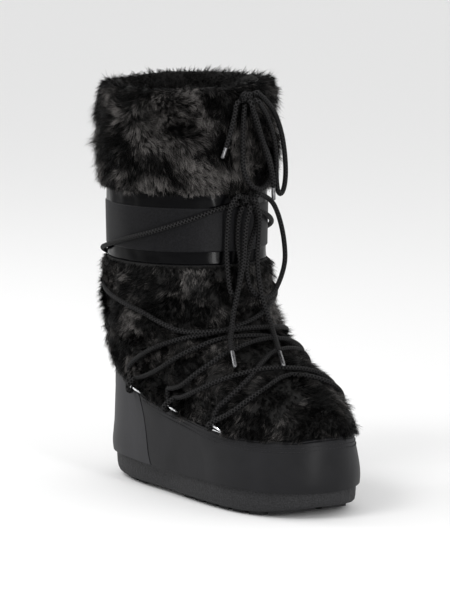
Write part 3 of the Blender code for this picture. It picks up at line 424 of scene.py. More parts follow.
def tube_parts(path, radius, sides=CORD_SIDES, closed=False):
    """Points, faces and UVs of a round tube, pointed at open ends; v runs along it in diameters."""
    path = np.asarray(path, float)
    count = len(path)
    if closed:
        ahead = np.roll(path, -1, 0) - np.roll(path, 1, 0)
    else:
        ahead = np.gradient(path, axis=0)
    ahead /= np.linalg.norm(ahead, axis=1, keepdims=True)
    across = []
    side = np.cross(ahead[0], (0.0, 0.0, 1.0) if abs(ahead[0][2]) < 0.9 else (1.0, 0.0, 0.0))
    for tangent in ahead:
        side = side - tangent * float(np.dot(side, tangent))
        side /= np.linalg.norm(side)
        across.append(side)
    across = np.array(across)
    other = np.cross(ahead, across)
    radius = np.broadcast_to(np.asarray(radius, float), (count,))
    columns = sides + 1
    angle = np.arange(columns) * 2 * math.pi / sides
    points = path[:, None] + radius[:, None, None] * (
        np.cos(angle)[None, :, None] * across[:, None] + np.sin(angle)[None, :, None] * other[:, None]
    )
    run = run_of(path) / (2 * float(radius.max()))
    uvs = np.stack(np.meshgrid(np.arange(columns) / sides, run), axis=2).reshape(-1, 2)
    index = np.arange(count * columns).reshape(count, columns)
    points = points.reshape(-1, 3)
    faces = [quads_of(index, wrap_rows=closed)]
    if not closed:
        tip = len(points)
        reach = float(radius[0]) * 0.45
        points = np.vstack([points, path[0] - ahead[0] * reach, path[-1] + ahead[-1] * reach])
        uvs = np.vstack([uvs, [0.5, 0.0], [0.5, run[-1]]])
        first, final = index[0], index[-1]
        faces.append(np.stack([np.full(sides, tip), first[1:], first[:-1]], axis=1))
        faces.append(np.stack([np.full(sides, tip + 1), final[:-1], final[1:]], axis=1))
    return points, faces, uvs


def join_parts(parts):
    """One set of points, faces and UVs from several."""
    points, faces, uvs, start = [], [], [], 0
    for p, f, u in parts:
        points.append(p)
        faces += [np.asarray(g) + start for g in f]
        uvs.append(u)
        start += len(p)
    return np.vstack(points), faces, np.vstack(uvs)


def tube_object(name, parts, mat):
    """A mesh object from a tube's parts, with the doubled points along its seam joined."""
    points, faces, uvs = parts
    obj = mesh_object(name, points, faces, mat, uvs)
    bm = bmesh.new()
    bm.from_mesh(obj.data)
    bmesh.ops.remove_doubles(bm, verts=bm.verts, dist=1e-6)
    bm.to_mesh(obj.data)
    bm.free()
    obj.data.shade_smooth()
    return obj


def shell(name, around, height, out, back, mat, closed=False):
    """A closed skin on the last from grids of places, outer distances and one inner distance."""
    n = around.size
    index = np.arange(n).reshape(around.shape)
    points = np.vstack([lay(around, height, off)[0].reshape(-1, 3) for off in (out, back)])
    outside = quads_of(index, wrap_columns=closed)
    low, high = (quads_of(np.stack(edge), wrap_columns=closed)
                 for edge in ((index[0] + n, index[0]), (index[-1], index[-1] + n)))
    faces = [outside, (outside + n)[:, ::-1], low, high]
    if not closed:
        faces += [quads_of(np.stack(edge))
                  for edge in ((index[:, 0], index[:, 0] + n), (index[:, -1] + n, index[:, -1]))]
    uv = np.stack([around * 0.5, height], axis=2).reshape(-1, 2)
    return mesh_object(name, points, faces, mat, np.vstack([uv, uv]), SHARP_ANGLE)


# ---- materials
class Look:
    """A material in the making: its node tree, its shader and what textures them."""

    def __init__(self, name, color, roughness, metallic=0.0, shine=0.25):
        self.mat = bpy.data.materials.new(name)
        self.mat.use_nodes = True
        self.tree = self.mat.node_tree
        self.shader = self.tree.nodes["Principled BSDF"]
        self.normal = None
        self.put(Base_Color=(*color, 1.0), Roughness=roughness, Metallic=metallic, Specular_IOR_Level=shine)

    def put(self, **values):
        """Numbers and colours on the shader's own sockets."""
        for key, value in values.items():
            self.shader.inputs[key.replace("_", " ")].default_value = value

    def link(self, socket, target):
        self.tree.links.new(socket, self.shader.inputs[target])

    def node(self, kind, links=(), **values):
        """A node with its properties and input values, linked from (socket, input) pairs."""
        made = self.tree.nodes.new(kind)
        for key, value in values.items():
            if hasattr(made, key):
                setattr(made, key, value)
            else:
                made.inputs[key.replace("_", " ")].default_value = value
        for socket, target in links:
            self.tree.links.new(socket, made.inputs[target])
        return made

    def texture(self, kind, output, **values):
        """A texture over the object's own space."""
        place = self.node("ShaderNodeTexCoord").outputs["Object"]
        return self.node(kind, [(place, "Vector")], **values).outputs[output]

    def noise(self, scale, detail):
        """Soft noise, from 0 to 1."""
        return self.texture("ShaderNodeTexNoise", "Fac", Scale=scale, Detail=detail)

    def cells(self, scale):
        """A pebbled grain."""
        return self.texture("ShaderNodeTexVoronoi", "Distance", Scale=scale)

    def ramp(self, source, low, high, at=(0.0, 1.0)):
        """A colour that runs from one to another as a number runs between two values."""
        made = self.node("ShaderNodeValToRGB", [(source, "Fac")])
        first, last = made.color_ramp.elements
        first.position, last.position = at
        first.color, last.color = (*low, 1.0), (*high, 1.0)
        return made.outputs["Color"]

    def tint(self, *values):
        """Colours the surface by a ramp."""
        self.link(self.ramp(*values), "Base Color")

    def roughen(self, source, low, high):
        """Runs the roughness between two values."""
        spread = self.node("ShaderNodeMapRange", [(source, "Value")], To_Min=low, To_Max=high)
        self.link(spread.outputs["Result"], "Roughness")

    def bump(self, height, distance, strength=1.0):
        """Bumps the surface, over any bump put on before."""
        links = [(height, "Height")] + ([(self.normal, "Normal")] if self.normal else [])
        made = self.node("ShaderNodeBump", links, Strength=strength, Distance=distance)
        self.normal = made.outputs["Normal"]
        self.link(self.normal, "Normal")


def fur_material():
    """Strand colour from UVs: u is each strand's shade, its random tone with painted highlight and painted
    shade patches, and v runs from root to tip, painted near black as shade deep in the pile at the root and
    painted light as a sheen at the tip.
    """
    look = Look("fur_pile", (0.008, 0.007, 0.0065), 0.38, shine=0.06)
    uv = look.node("ShaderNodeUVMap", uv_map="UVMap").outputs["UV"]
    parts = look.node("ShaderNodeSeparateXYZ", [(uv, "Vector")])
    # painted shade at the roots, deep in the pile, and a painted sheen toward the tips
    along = look.ramp(parts.outputs["Y"], (0.0006, 0.0006, 0.0006), (0.215, 0.202, 0.194), (0.30, 1.0))
    # u brings the painted highlight and shade patches as well as the random tone of each lock and strand
    shade = look.ramp(parts.outputs["X"], (0.006, 0.006, 0.006), (1.0, 1.0, 1.0), (0.30, 1.0))
    mixed = look.node("ShaderNodeMix", [(along, 6), (shade, 7)], data_type="RGBA", blend_type="MULTIPLY")
    mixed.inputs[0].default_value = 1.0
    look.link(mixed.outputs[2], "Base Color")
    return look.mat


def skin_material():
    """The dark backing under the pile."""
    look = Look("fur_backing", (0.002, 0.0018, 0.0016), 0.8)
    fine = look.noise(420.0, 4.0)
    look.tint(fine, (0.001, 0.001, 0.001), (0.004, 0.0035, 0.003))
    look.bump(fine, 0.0008)
    return look.mat


def coated_material(name, low, high, roughness, grain=0.00010):
    """Smooth coated panel: fine grain, faint cloudiness and a soft sheen."""
    look = Look(name, high, roughness, shine=0.11)
    look.put(Coat_Weight=0.02, Coat_Roughness=0.35)
    cloud = look.noise(22.0, 3.0)
    look.tint(cloud, low, high, (0.3, 0.7))
    look.roughen(cloud, roughness - 0.06, roughness + 0.08)
    look.bump(look.noise(60.0, 2.0), 0.0006, 0.5)
    look.bump(look.cells(1150.0), grain, 0.5)
    return look.mat


def rubber_material():
    """The sole's granular rubber."""
    look = Look("sole_granular", (0.012, 0.012, 0.013), 0.72)
    grain = look.noise(950.0, 3.0)
    look.tint(grain, (0.007, 0.007, 0.0075), (0.026, 0.026, 0.028), (0.35, 0.7))
    look.bump(look.cells(620.0), 0.0005, 0.7)
    look.bump(grain, 0.0003, 0.6)
    return look.mat


def glossy_material():
    """The band's gloss: a soft unevenness that breaks up its reflections."""
    look = Look("band_gloss", (0.0010, 0.0010, 0.0013), 0.16, shine=0.035)
    look.put(Coat_Weight=0.05, Coat_Roughness=0.08)
    soft = look.noise(38.0, 2.0)
    look.tint(soft, (0.0008, 0.0008, 0.0010), (0.0014, 0.0014, 0.0018), (0.35, 0.65))
    look.roughen(soft, 0.14, 0.28)
    look.bump(soft, 0.0022, 0.6)
    look.bump(look.noise(700.0, 2.0), 0.00004, 0.6)
    return look.mat


def panel_material():
    """The raised panel's fine matt face."""
    look = Look("band_panel_matt", (0.004, 0.004, 0.005), 0.50, shine=0.08)
    fine = look.noise(900.0, 3.0)
    look.tint(fine, (0.003, 0.003, 0.0035), (0.008, 0.008, 0.009), (0.35, 0.65))
    look.bump(fine, 0.00015, 0.6)
    return look.mat


def braid_material(name):
    """Round braid from a tube's UVs: two families of plaits that cross."""
    look = Look(name, (0.004, 0.004, 0.0045), 0.6, shine=0.06)
    uv = look.node("ShaderNodeUVMap", uv_map="UVMap").outputs["UV"]
    heights = []
    for slant in (1.0, -1.0):
        turned = look.node("ShaderNodeMapping", [(uv, "Vector")], Scale=(3.0, 1.45 * slant, 1.0))
        parts = look.node("ShaderNodeSeparateXYZ", [(turned.outputs["Vector"], "Vector")])
        total = look.node("ShaderNodeMath", [(parts.outputs["X"], 0), (parts.outputs["Y"], 1)],
                          operation="ADD")
        turn = look.node("ShaderNodeMath", [(total.outputs[0], 0)], operation="MULTIPLY")
        turn.inputs[1].default_value = 2 * math.pi
        heights.append(look.node("ShaderNodeMath", [(turn.outputs[0], 0)], operation="SINE").outputs[0])
    top = look.node("ShaderNodeMath", [(heights[0], 0), (heights[1], 1)], operation="MAXIMUM").outputs[0]
    # painted highlight on the plait tops, and painted shade in the grooves between them
    look.tint(top, (0.0008, 0.0008, 0.0009), (0.0230, 0.0225, 0.0230), (0.50, 1.0))
    look.bump(top, 0.0004, 0.8)
    return look.mat


def metal_material(name, color, roughness):
    """Plain metal with fine dull spots."""
    look = Look(name, color, roughness, metallic=1.0)
    fine = look.noise(600.0, 2.0)
    look.tint(fine, [0.78 * part for part in color], color, (0.35, 0.65))
    look.roughen(fine, roughness * 0.7, roughness * 1.5)
    return look.mat


def cloth_material(name, low, high, scale):
    """Matt felt, lining or thread."""
    look = Look(name, high, 0.92)
    look.put(Sheen_Weight=0.02)
    fine = look.noise(scale, 5.0)
    look.tint(fine, low, high, (0.35, 0.65))
    look.bump(fine, 0.0005, 0.7)
    return look.mat


# ---- camera, then cords
def place_camera():
    """The photo's own angle and scale, with the one boot in the middle of the frame."""
    camera = bpy.data.cameras.new("photo_camera")
    camera.sensor_fit = "VERTICAL"
    camera.sensor_height = 36.0
    camera.lens = 230.0
    camera.shift_x = 10.0 / 600
    camera.shift_y = -1.3 / 600
    camera.clip_end = 30.0
    obj = bpy.data.objects.new("photo_camera", camera)
    bpy.context.scene.collection.objects.link(obj)
    obj.location = (2.9115, -1.8518, 0.639)
    aim = Vector((0.06, 0.0, 0.17)) - obj.location
    obj.rotation_euler = aim.to_track_quat("-Z", "Y").to_euler()
    bpy.context.scene.camera = obj


def knot_exit(knot, direction, clear=KNOT_GAP):
    """The point just off a knot's surface, above where a direction from its centre meets it, in metres."""
    half = np.array(knot[1])
    surface = np.array(direction) / np.linalg.norm(np.array(direction) / half)
    normal = surface / half ** 2
    return (np.array(knot[0]) + surface + clear * normal / np.linalg.norm(normal)) / 1000.0


def cord_points(knot, leave, route, back):
    """A cord's places in metres, from its knot out and, for a loop, back in."""
    points = [knot_exit(knot, leave), knot_exit(knot, leave, KNOT_LEAD)]
    points += [np.array(place) / 1000.0 for place in route]
    if back:
        points += [knot_exit(knot, back, KNOT_LEAD), knot_exit(knot, back)]
    return points


def make_knot(name, knot, mat):
    """A tied knot: a core with three turns of lace pulled round it."""
    centre, half = np.array(knot[0]) / 1000.0, np.array(knot[1]) / 1000.0
    turn = np.linspace(0.0, 2 * math.pi, 40, endpoint=False)
    parts = []
    for shift, tilt, size in KNOT_TURNS:
        lean = math.radians(tilt)
        reach = size - KNOT_INSET
        x = half[0] * reach * np.cos(turn)
        z = half[2] * reach * np.sin(turn)
        y = half[1] * shift + z * math.sin(lean)
        loop = centre + np.stack([x, y, z * math.cos(lean)], axis=1)
        parts.append(tube_parts(loop, KNOT_LACE, closed=True))
    core = centre + np.stack([np.zeros(9), np.linspace(-0.8, 0.8, 9) * half[1], np.zeros(9)], axis=1)
    bulge = half[0] * 0.62 * np.sqrt(1 - np.linspace(-0.86, 0.86, 9) ** 2)
    parts.append(tube_parts(core, bulge))
    return keep(tube_object(name + "_tied", join_parts(parts), mat), "cord_braid", name)


def make_cords(braid, metal):
    """The two bows, each cord on its CAD route."""
    knots = {
        "collar": make_knot("collar_knot", COLLAR_KNOT, braid),
        "lace": make_knot("lace_knot", LACE_KNOT, braid),
    }
    carried = set()
    for name, knot, leave, route, back, tip in CORDS:
        path = ease(even_path(spline(cord_points(knot, leave, route, back), 12), CORD_STEP), 3)
        cord = tube_object(name + "_braid", tube_parts(path, LACE_RADIUS), braid)
        keep(cord, "cord_braid", name)
        group = name.split("_")[0]
        if group not in carried:
            carried.add(group)
        if tip:
            make_tip(name, path, tip, metal)


def make_tip(name, path, length, mat):
    """The crimped metal tip on a cord's end."""
    ahead = (path[-1] - path[-2]) / np.linalg.norm(path[-1] - path[-2])
    start = path[-1] + ahead * TIP_GAP / 1000.0
    reach = TIP_PROFILE[:, 0] * length / 1000.0
    line = start + reach[:, None] * ahead
    tip_name = name.replace("end", "tip")
    piece = tube_object(tip_name + "_metal", tube_parts(line, TIP_RADIUS * TIP_PROFILE[:, 1], 16), mat)
    return keep(piece, "cord_tip", tip_name)


# ---- laces and loops
def ring_frame(number, side):
    """Seat of a wire loop and its directions: along the boot, out from it and up its wall."""
    along = RING_ALONG[number]
    height = float(table_column(RAND_EDGE, 0, 1, along)) + RING_ABOVE_EDGE
    around = round_at(along, height)
    seat, out = lay(around, height)
    after, before = around + RING_REACH, around - RING_REACH
    ahead = lay(after, edge_at(after))[0] - lay(before, edge_at(before))[0]
    ahead = ahead - out * float(np.dot(ahead, out))
    ahead /= np.linalg.norm(ahead)
    up = np.cross(out, ahead)
    if side == "far":
        mirror = np.array([1.0, -1.0, 1.0])
        seat, ahead, out, up = seat * mirror, ahead * mirror, out * mirror, up * mirror
    return seat, ahead, out, up


def make_rings(mat):
    """The wire loops, each a foot in the rand's edge and a bow that leans out."""
    for side in ("near", "far"):
        for number in range(len(RING_ALONG)):
            seat, ahead, out, up = ring_frame(number, side)
            lean = math.sin(RING_LEAN) * out + math.cos(RING_LEAN) * up
            path = []
            for angle in np.linspace(0.0, 2 * math.pi, 48, endpoint=False):
                rise = RING_FOOT * (1 + math.sin(angle))
                if math.sin(angle) > 0:
                    rise = RING_FOOT + (RING_HEIGHT - RING_FOOT) * math.sin(angle)
                path.append(seat + RING_SEAT * out + RING_HALF_WIDTH * math.cos(angle) * ahead + rise * lean)
            name = f"lace_ring_{side}_{number + 1}"
            wire = tube_object(name + "_wire", tube_parts(path, RING_WIRE, closed=True), mat)
            keep(wire, "ring_wire", name)


def ring_turn(loop, before, after):
    """The lace's turn round the bow of a loop: down over the wire, through the loop and up behind it."""
    seat, ahead, out, up = ring_frame(*loop)
    top = seat + (RING_SEAT + RING_HEIGHT * math.sin(RING_LEAN)) * out
    top = top + RING_HEIGHT * math.cos(RING_LEAN) * up
    toward = (before + after) / 2 - top
    slant = max(-MOST_SLANT, min(MOST_SLANT, float(np.dot(toward, ahead)) / float(np.dot(toward, up))))
    first = 1.0 if float(np.dot(before - after, ahead)) > 0 else -1.0
    turn = []
    for angle, spread in TURN:
        place = top + first * spread * LEG_SPREAD * ahead
        place = place + TURN_RADIUS * math.cos(math.radians(angle)) * out
        pull = up + (slant if angle > 0 or angle < -180 else 0.25 * slant) * ahead
        turn.append(place + TURN_RADIUS * math.sin(math.radians(angle)) * pull)
    return turn


def on_fur(around):
    """How far out the lace runs: on the pile in front, and down in it behind the ankle."""
    around = np.asarray(around) % 1.0
    behind = part_of(SINK_FROM - np.minimum(around, 1 - around), SINK_OVER)
    return ON_FUR - SINK * behind * behind * (3 - 2 * behind)


def lace_half(mirrored):
    """Route of one half of the foot lace, from the middle of the toe bar to the knot."""
    rise = CROSS_RISE if mirrored else 0.0
    half = FAR_HALF if mirrored else NEAR_HALF
    runs = []
    for run, _ in half:
        rows = spline(run, 5)
        swell = np.sin(np.linspace(0.0, math.pi, len(rows)))
        runs.append(list(lay(rows[:, 0], rows[:, 1], on_fur(rows[:, 0]) + rise * swell)[0]))
    route = []
    for i, (_, loop) in enumerate(half):
        route += runs[i]
        if loop:
            route += ring_turn(loop, runs[i][-1], runs[i + 1][0])
    for around, height in spline(BAND_RUN, 5):
        share = min(max((height - BAND_LOW + 0.003) / 0.010, 0.0), 1.0)
        low = float(on_fur(around))
        out = low + (ON_BAND - low) * share * share * (3 - 2 * share)
        route.append(lay(1.0 - around if mirrored else around, height, out)[0])
    leave = WRAP_EXITS[1 if mirrored else 0]
    return route + [knot_exit(LACE_KNOT, leave, KNOT_LEAD), knot_exit(LACE_KNOT, leave)]


def make_lace(braid):
    """The bars, crossings and wraps, as one piece; returns their paths for the pile to part round."""
    paths = [even_path(spline(lace_half(mirrored), 4), CORD_STEP) for mirrored in (False, True)]
    parts = join_parts([tube_parts(path, LACE_RADIUS) for path in paths])
    keep(tube_object("lace_braid", parts, braid), "lace_braid", "lace_crossings")
    return np.vstack(paths)


# ---- panels
def seam_round(height, gap):
    """How far round the slanted seam runs at a height, plus a gap along the boot."""
    return round_at(float(table_column(COUNTER_SEAM, 0, 1, height)) + gap, height)


def panel_grid(start, end, columns, rows):
    """Grids of a panel between two slanted seams: how far round, how high, and how far below its edge."""
    u = np.linspace(0.0, 1.0, columns)
    low = start[0] + (end[0] - start[0]) * u
    high = start[1] + (end[1] - start[1]) * u
    edge = edge_at(high)
    bottom = SEAT + 0.0002
    v = np.r_[np.linspace(0.0, 0.86, rows - 9), [0.90, 0.93, 0.955, 0.97, 0.98, 0.987, 0.993, 0.997, 1.0]]
    height = bottom + (edge - bottom)[None, :] * v[:, None]
    around = low[None, :] + (high - low)[None, :] * v[:, None]
    return around, height, edge[None, :] - height


def rounded_edge(inset, width, depth):
    """How far a rounded edge falls away, at distances in from it."""
    return depth * (1 - np.sqrt(1 - (1 - part_of(inset, width)) ** 2))


def panel_relief(around, height, below, seed):
    """Thickness of a coated panel: rounded top edge, stitch channel, soft unevenness."""
    place, _ = lay(around, height)
    out = np.full(around.shape, GAP + RAND_THICK)
    out -= rounded_edge(below, 0.0014, 0.0013)
    for line in STITCH_LINES:
        out -= CHANNEL_DEPTH * np.exp(-((below - line) / CHANNEL_WIDTH) ** 2)
    out += 0.00035 * np.clip(waves(place, 0.060, seed), -1.5, 1.5) * part_of(below, 0.012)
    return out


def make_rand_and_counter(rand_mat, counter_mat):
    """The panel round the toe and sides, and the one round the heel."""
    low, high = seam_round(SEAT, SEAM_GAP), seam_round(SEAM_TOP, SEAM_GAP)
    rand_ends = (low, high), (1.0 - low, 1.0 - high)
    low, high = seam_round(SEAT, -SEAM_GAP), seam_round(SEAM_TOP, -SEAM_GAP)
    counter_ends = (-low, -high), (low, high)
    for name, ends, size, seed, mat, slot, cad_node in (
        ("rand_panel", rand_ends, (240, 34), 3, rand_mat, "rand_coated", "foot_rand"),
        ("counter_panel", counter_ends, (120, 42), 5, counter_mat, "counter_coated", "heel_counter"),
    ):
        around, height, below = panel_grid(*ends, *size)
        out = panel_relief(around, height, below, seed)
        keep(shell(name, around, height, out, GAP, mat), slot, cad_node)


def stitch_row(name, around, height, mat, slot):
    """Stitches along a line on the boot, as one joined mesh of small bowed capsules."""
    line, normals = lay(around, height, STITCH_OUT)
    run = run_of(line)
    parts = []
    for start in np.arange(STITCH_PITCH / 2, run[-1] - STITCH_LENGTH, STITCH_PITCH):
        at = start + np.linspace(0.0, 1.0, 5) * STITCH_LENGTH
        path = np.stack([np.interp(at, run, line[:, i]) for i in range(3)], axis=1)
        normal = np.array([np.interp(start, run, normals[:, i]) for i in range(3)])
        path += normal * (STITCH_BOW * STITCH_RADIUS)[:, None]
        parts.append(tube_parts(path, STITCH_RADIUS, 6))
    points, faces, uvs = join_parts(parts)
    return keep(mesh_object(name, points, faces, mat, uvs), slot)


def make_stitches(thread):
    """Two rows under the top edge of each panel, and two behind each slanted seam."""
    high = seam_round(SEAM_TOP, 0.0)
    for k, below in enumerate(STITCH_LINES):
        around = np.linspace(high + 0.006, 1.0 - high - 0.006, 900)
        stitch_row(f"rand_stitches_{k + 1}", around, edge_at(around) - below, thread, "rand_coated")
        around = np.linspace(-high + 0.006, high - 0.006, 500)
        stitch_row(f"counter_stitches_{k + 1}", around, edge_at(around) - below, thread, "counter_coated")
    height = np.linspace(SEAT + 0.003, SEAM_TOP - 0.011, 120)
    for side, turn in (("near", 1), ("far", -1)):
        for k, shift in enumerate(SEAM_STITCH_LINES):
            around = np.array([seam_round(z, shift) for z in height])
            stitch_row(f"seam_stitches_{side}_{k + 1}", turn * around % 1.0, height, thread, "rand_coated")


def make_binding(mat):
    """The rolled binding between the rand's edge and the pile."""
    around = np.linspace(0.0, 1.0, 700, endpoint=False)
    path = lay(around, edge_at(around) + 0.0007, GAP + 0.0013)[0]
    keep(tube_object("rand_binding", tube_parts(path, 0.0010, 10, closed=True), mat), "rand_coated")


def band_grid(low, high, rows):
    """Grids round the shaft between two heights, with how far in from the nearer edge each place is."""
    heights = np.r_[low + BAND_EDGE_ROWS, np.linspace(low + 0.002, high - 0.002, rows),
                    high - BAND_EDGE_ROWS[::-1]]
    around = np.linspace(0.0, 1.0, BAND_COLUMNS, endpoint=False)
    around, heights = np.broadcast_arrays(around[None, :], heights[:, None])
    return around, heights, np.minimum(heights - low, high - heights), lay(around, heights)[0]


def make_band(gloss, matt):
    """The glossy band with soft upright wrinkles, and its raised matt panel."""
    around, heights, inset, place = band_grid(BAND_LOW, BAND_HIGH, 32)
    out = GAP + BAND_THICK - rounded_edge(inset, BAND_EDGE_WIDTH, 0.0011)
    wrinkles = np.clip(waves(place * np.array([1.0, 1.0, 0.25]), 0.022, 11), -1.4, 1.4)
    out = out + 0.00035 * wrinkles * part_of(inset, 0.006)
    keep(shell("band_gloss_wrap", around, heights, out, GAP, gloss, closed=True), "band_glossy", "shaft_band")
    around, heights, inset, place = band_grid(PANEL_LOW, PANEL_HIGH, 16)
    out = GAP + BAND_THICK + PANEL_RISE - rounded_edge(inset, BAND_EDGE_WIDTH, 0.0010)
    out = out + 0.0002 * np.clip(waves(place * np.array([1.0, 1.0, 0.4]), 0.03, 12), -1.4, 1.4)
    back = GAP + BAND_THICK - 0.0006
    keep(shell("band_matt_panel", around, heights, out, back, matt, closed=True), "band_glossy")


# ---- fur
def comb_frames(around, height, out):
    """Roots with directions: outward, down the boot and round it."""
    root, normal = lay(around, height, out)
    above, _ = lay(around, height + 0.002, out)
    below, _ = lay(around, height - 0.002, out)
    down = below - above
    down = unit(down - normal * np.sum(down * normal, axis=-1, keepdims=True))
    return root, normal, down, np.cross(normal, down)


def two_waves(points, seed, broad, fine, base=0.0):
    """Two fields together, each with a strength and a size."""
    return base + broad[0] * waves(points, broad[1], seed) + fine[0] * waves(points, fine[1], seed + 1)


def combed(root, down, side, seed, swirls):
    """Directions that swirl about the way down the boot."""
    swirl = two_waves(root, seed, *swirls)
    return down * np.cos(swirl)[:, None] + side * np.sin(swirl)[:, None]


def point_tree(points):
    """A tree that finds the nearest of some points."""
    tree = kdtree.KDTree(len(points))
    for i, place in enumerate(points):
        tree.insert(place, i)
    tree.balance()
    return tree


def make_strands(name, root, normal, comb, length, lift, mat, patch, light, lace=None):
    """Long pile as tapered ribbons, drawn together at their tips into locks."""
    count = len(root)
    picks = RNG.choice(count, count // STRANDS_A_LOCK, replace=False)
    tree = point_tree(root[picks])
    owner = np.array([tree.find(place)[1] for place in root])
    lead = picks[owner]
    spread = RNG.normal(scale=STRAND_SPREAD, size=(count, 3))
    lock_spread = RNG.normal(scale=LOCK_SPREAD, size=(len(picks), 3))[owner]
    lock_length = RNG.uniform(0.75, 1.15, len(picks))[owner]
    # painted light: patches of painted highlight and painted shade over the pile, scaled by the painted light
    # and shade passed in as light
    broad = two_waves(root, patch, *PAINTED_LIGHT_PATCHES, SHADE) * light
    lock_shade = RNG.normal(scale=0.16, size=len(picks))[owner]
    shade = np.clip(broad + lock_shade + RNG.normal(scale=0.20, size=count), 0.0, 1.0)
    direction = unit(comb[lead] * 0.6 + comb * 0.4 + lock_spread + spread)
    reach = (length * lock_length * RNG.uniform(0.8, 1.1, count))[:, None]
    lift = lift[:, None]
    flat = direction * np.sqrt(1 - lift ** 2)
    tip = root + reach * (flat + normal * lift)
    centre = root[lead] + reach * (flat + normal[lead] * lift)
    tip += (centre - tip) * CLUMP
    middle = root + 0.5 * (tip - root) + normal * reach * ARCH
    if lace is not None:
        press_under(lace, tip, middle)
    face = unit(np.cross(tip - root, normal + RNG.normal(scale=0.6, size=(count, 3))))
    half = face * (STRAND_WIDTH * RNG.uniform(0.7, 1.25, count) / 2)[:, None]
    points = np.stack([root - half, root + half, middle - half * 0.8, middle + half * 0.8, tip], axis=1)
    uvs = np.stack([np.repeat(shade, 5), np.tile([0.0, 0.0, 0.5, 0.5, 1.0], count)], axis=1)
    uvs = uvs.reshape(count, 5, 2)
    strands_a_piece = FACES_A_PIECE // 3
    for k, start in enumerate(range(0, count, strands_a_piece)):
        rows = slice(start, start + strands_a_piece)
        first = np.arange(len(points[rows]))[:, None] * 5
        piece = mesh_object(f"{name}_{k + 1}", points[rows].reshape(-1, 3),
                            [first + np.array([[0, 1, 3, 2]]), first + np.array([[2, 3, 4]])], mat,
                            uvs[rows].reshape(-1, 2))
        keep(piece, "fur")


def press_under(lace, tip, middle):
    """Holds the pile down where a lace crosses it."""
    tree = point_tree(lace)
    outward = pile_outward(tip)
    for points, share in ((tip, 1.0), (middle, 0.9)):
        for i, place in enumerate(points):
            distance = tree.find(place)[2]
            if distance < PRESS_REACH:
                front = min(max((place[0] + 0.015) / 0.03, 0.0), 1.0)
                points[i] -= outward[i] * share * front * (PRESS_REACH - distance) * 0.9


def pile_outward(points):
    """Outward directions of the last near points, from their height and bearing."""
    axis = np.interp(points[:, 2], (0.07, 0.14, 0.20), (0.10, 0.03, 0.014))
    heading = points - np.stack([axis, np.zeros(len(points)), points[:, 2] - 0.01], axis=1)
    heading[:, 2] = np.interp(points[:, 2], (0.07, 0.12, 0.16), (0.02, 0.04, 0.005))
    return unit(heading)


def scatter(count, low, high):
    """Random places round the boot, evenly spread over its surface, between two edges."""
    around = RNG.uniform(0.0, 1.0, count * 3)
    share = RNG.uniform(0.0, 1.0, count * 3)
    bottom, top = low(around), high(around)
    height = bottom + (top - bottom) * share
    place, _ = lay(around, height)
    up, _ = lay(around, height + 0.001)
    side, _ = lay(around + 0.001, height)
    area = np.linalg.norm(np.cross(up - place, side - place), axis=1) * (top - bottom)
    keep_it = RNG.uniform(0.0, 1.0, count * 3) < area / np.quantile(area, 0.97)
    return around[keep_it][:count], height[keep_it][:count]


def skin_grid():
    """Grids for a ring of backing: how far round, and how far up its height."""
    around = np.linspace(0.0, 1.0, SKIN_COLUMNS, endpoint=False)
    return np.broadcast_arrays(around[None, :], np.linspace(0.0, 1.0, SKIN_ROWS)[:, None])


def make_lower_fur(pile, backing, lace, count):
    """The pile from the rand up to the band, over its backing."""
    around, share = skin_grid()
    low = edge_at(around) + 0.0030
    height = low + (BAND_LOW - 0.0009 - low) * share
    place, _ = lay(around, height)
    rim = part_of(np.minimum(share, 1 - share), 0.06)
    out = FUR_GAP + 0.0012 + 0.0026 * rim + 0.0006 * waves(place, 0.018, 21) * rim
    out = np.maximum(out, FUR_GAP + 0.0008)
    keep(shell("fur_lower_skin", around, height, out, FUR_GAP, backing, closed=True), "fur", "fur_lower")
    around, height = scatter(count, lambda a: edge_at(a) + 0.0024, lambda a: 0.0 * a + BAND_LOW - 0.001)
    root, normal, down, side = comb_frames(around, height, 0.0036)
    comb = combed(root, down, side, 31, LOWER_SWIRL)
    front = part_of(root[:, 0] - 0.10, 0.05)
    off_edge = part_of(height - edge_at(around), 0.016)
    off_band = part_of(BAND_LOW - height, 0.012)
    length = LOWER_LENGTH * (0.72 + 0.28 * off_edge) * (0.65 + 0.35 * off_band)
    lift = np.clip(0.36 + 0.22 * waves(root, 0.028, 33) - 0.08 * front, 0.12, 0.80)
    lift = lift * (0.75 + 0.25 * off_edge)
    # painted shade: the pile is darkened toward the toe
    make_strands("fur_lower_pile", root, normal, comb, length, lift, pile, 35, 1 - 0.46 * front, lace)


def near_share(around):
    """1 on the boot's near side, 0 on its far side and at the heel."""
    return np.clip(0.35 + 0.9 * np.sin(2 * math.pi * np.asarray(around)), 0.0, 1.0)


def cuff_points(around, share, raise_by=0.0):
    """Points of the cuff's skin, from its lower edge up over the rim and in, with its directions."""
    step = np.linspace(0.0, 1.0, len(CUFF_SKIN))
    height, out = np.interp(share, step, CUFF_SKIN[:, 0]), np.interp(share, step, CUFF_SKIN[:, 1])
    rim = part_of(height - 0.335, 0.026)
    height = height + (RIM_FAR - (RIM_FAR - RIM_NEAR) * near_share(around)) * rim
    point, normal = lay(around, height, out)
    ahead, back = np.clip(share + 0.01, 0, 1), np.clip(share - 0.01, 0, 1)
    rise = np.interp(ahead, step, CUFF_SKIN[:, 0]) - np.interp(back, step, CUFF_SKIN[:, 0])
    grow = np.interp(ahead, step, CUFF_SKIN[:, 1]) - np.interp(back, step, CUFF_SKIN[:, 1])
    size = np.hypot(rise, grow) + 1e-9
    outward = normal * (rise / size)[..., None]
    outward[..., 2] -= grow / size
    outward = unit(outward)
    down = -normal * (grow / size)[..., None]
    down[..., 2] -= rise / size
    return point + outward * raise_by, outward, unit(down)


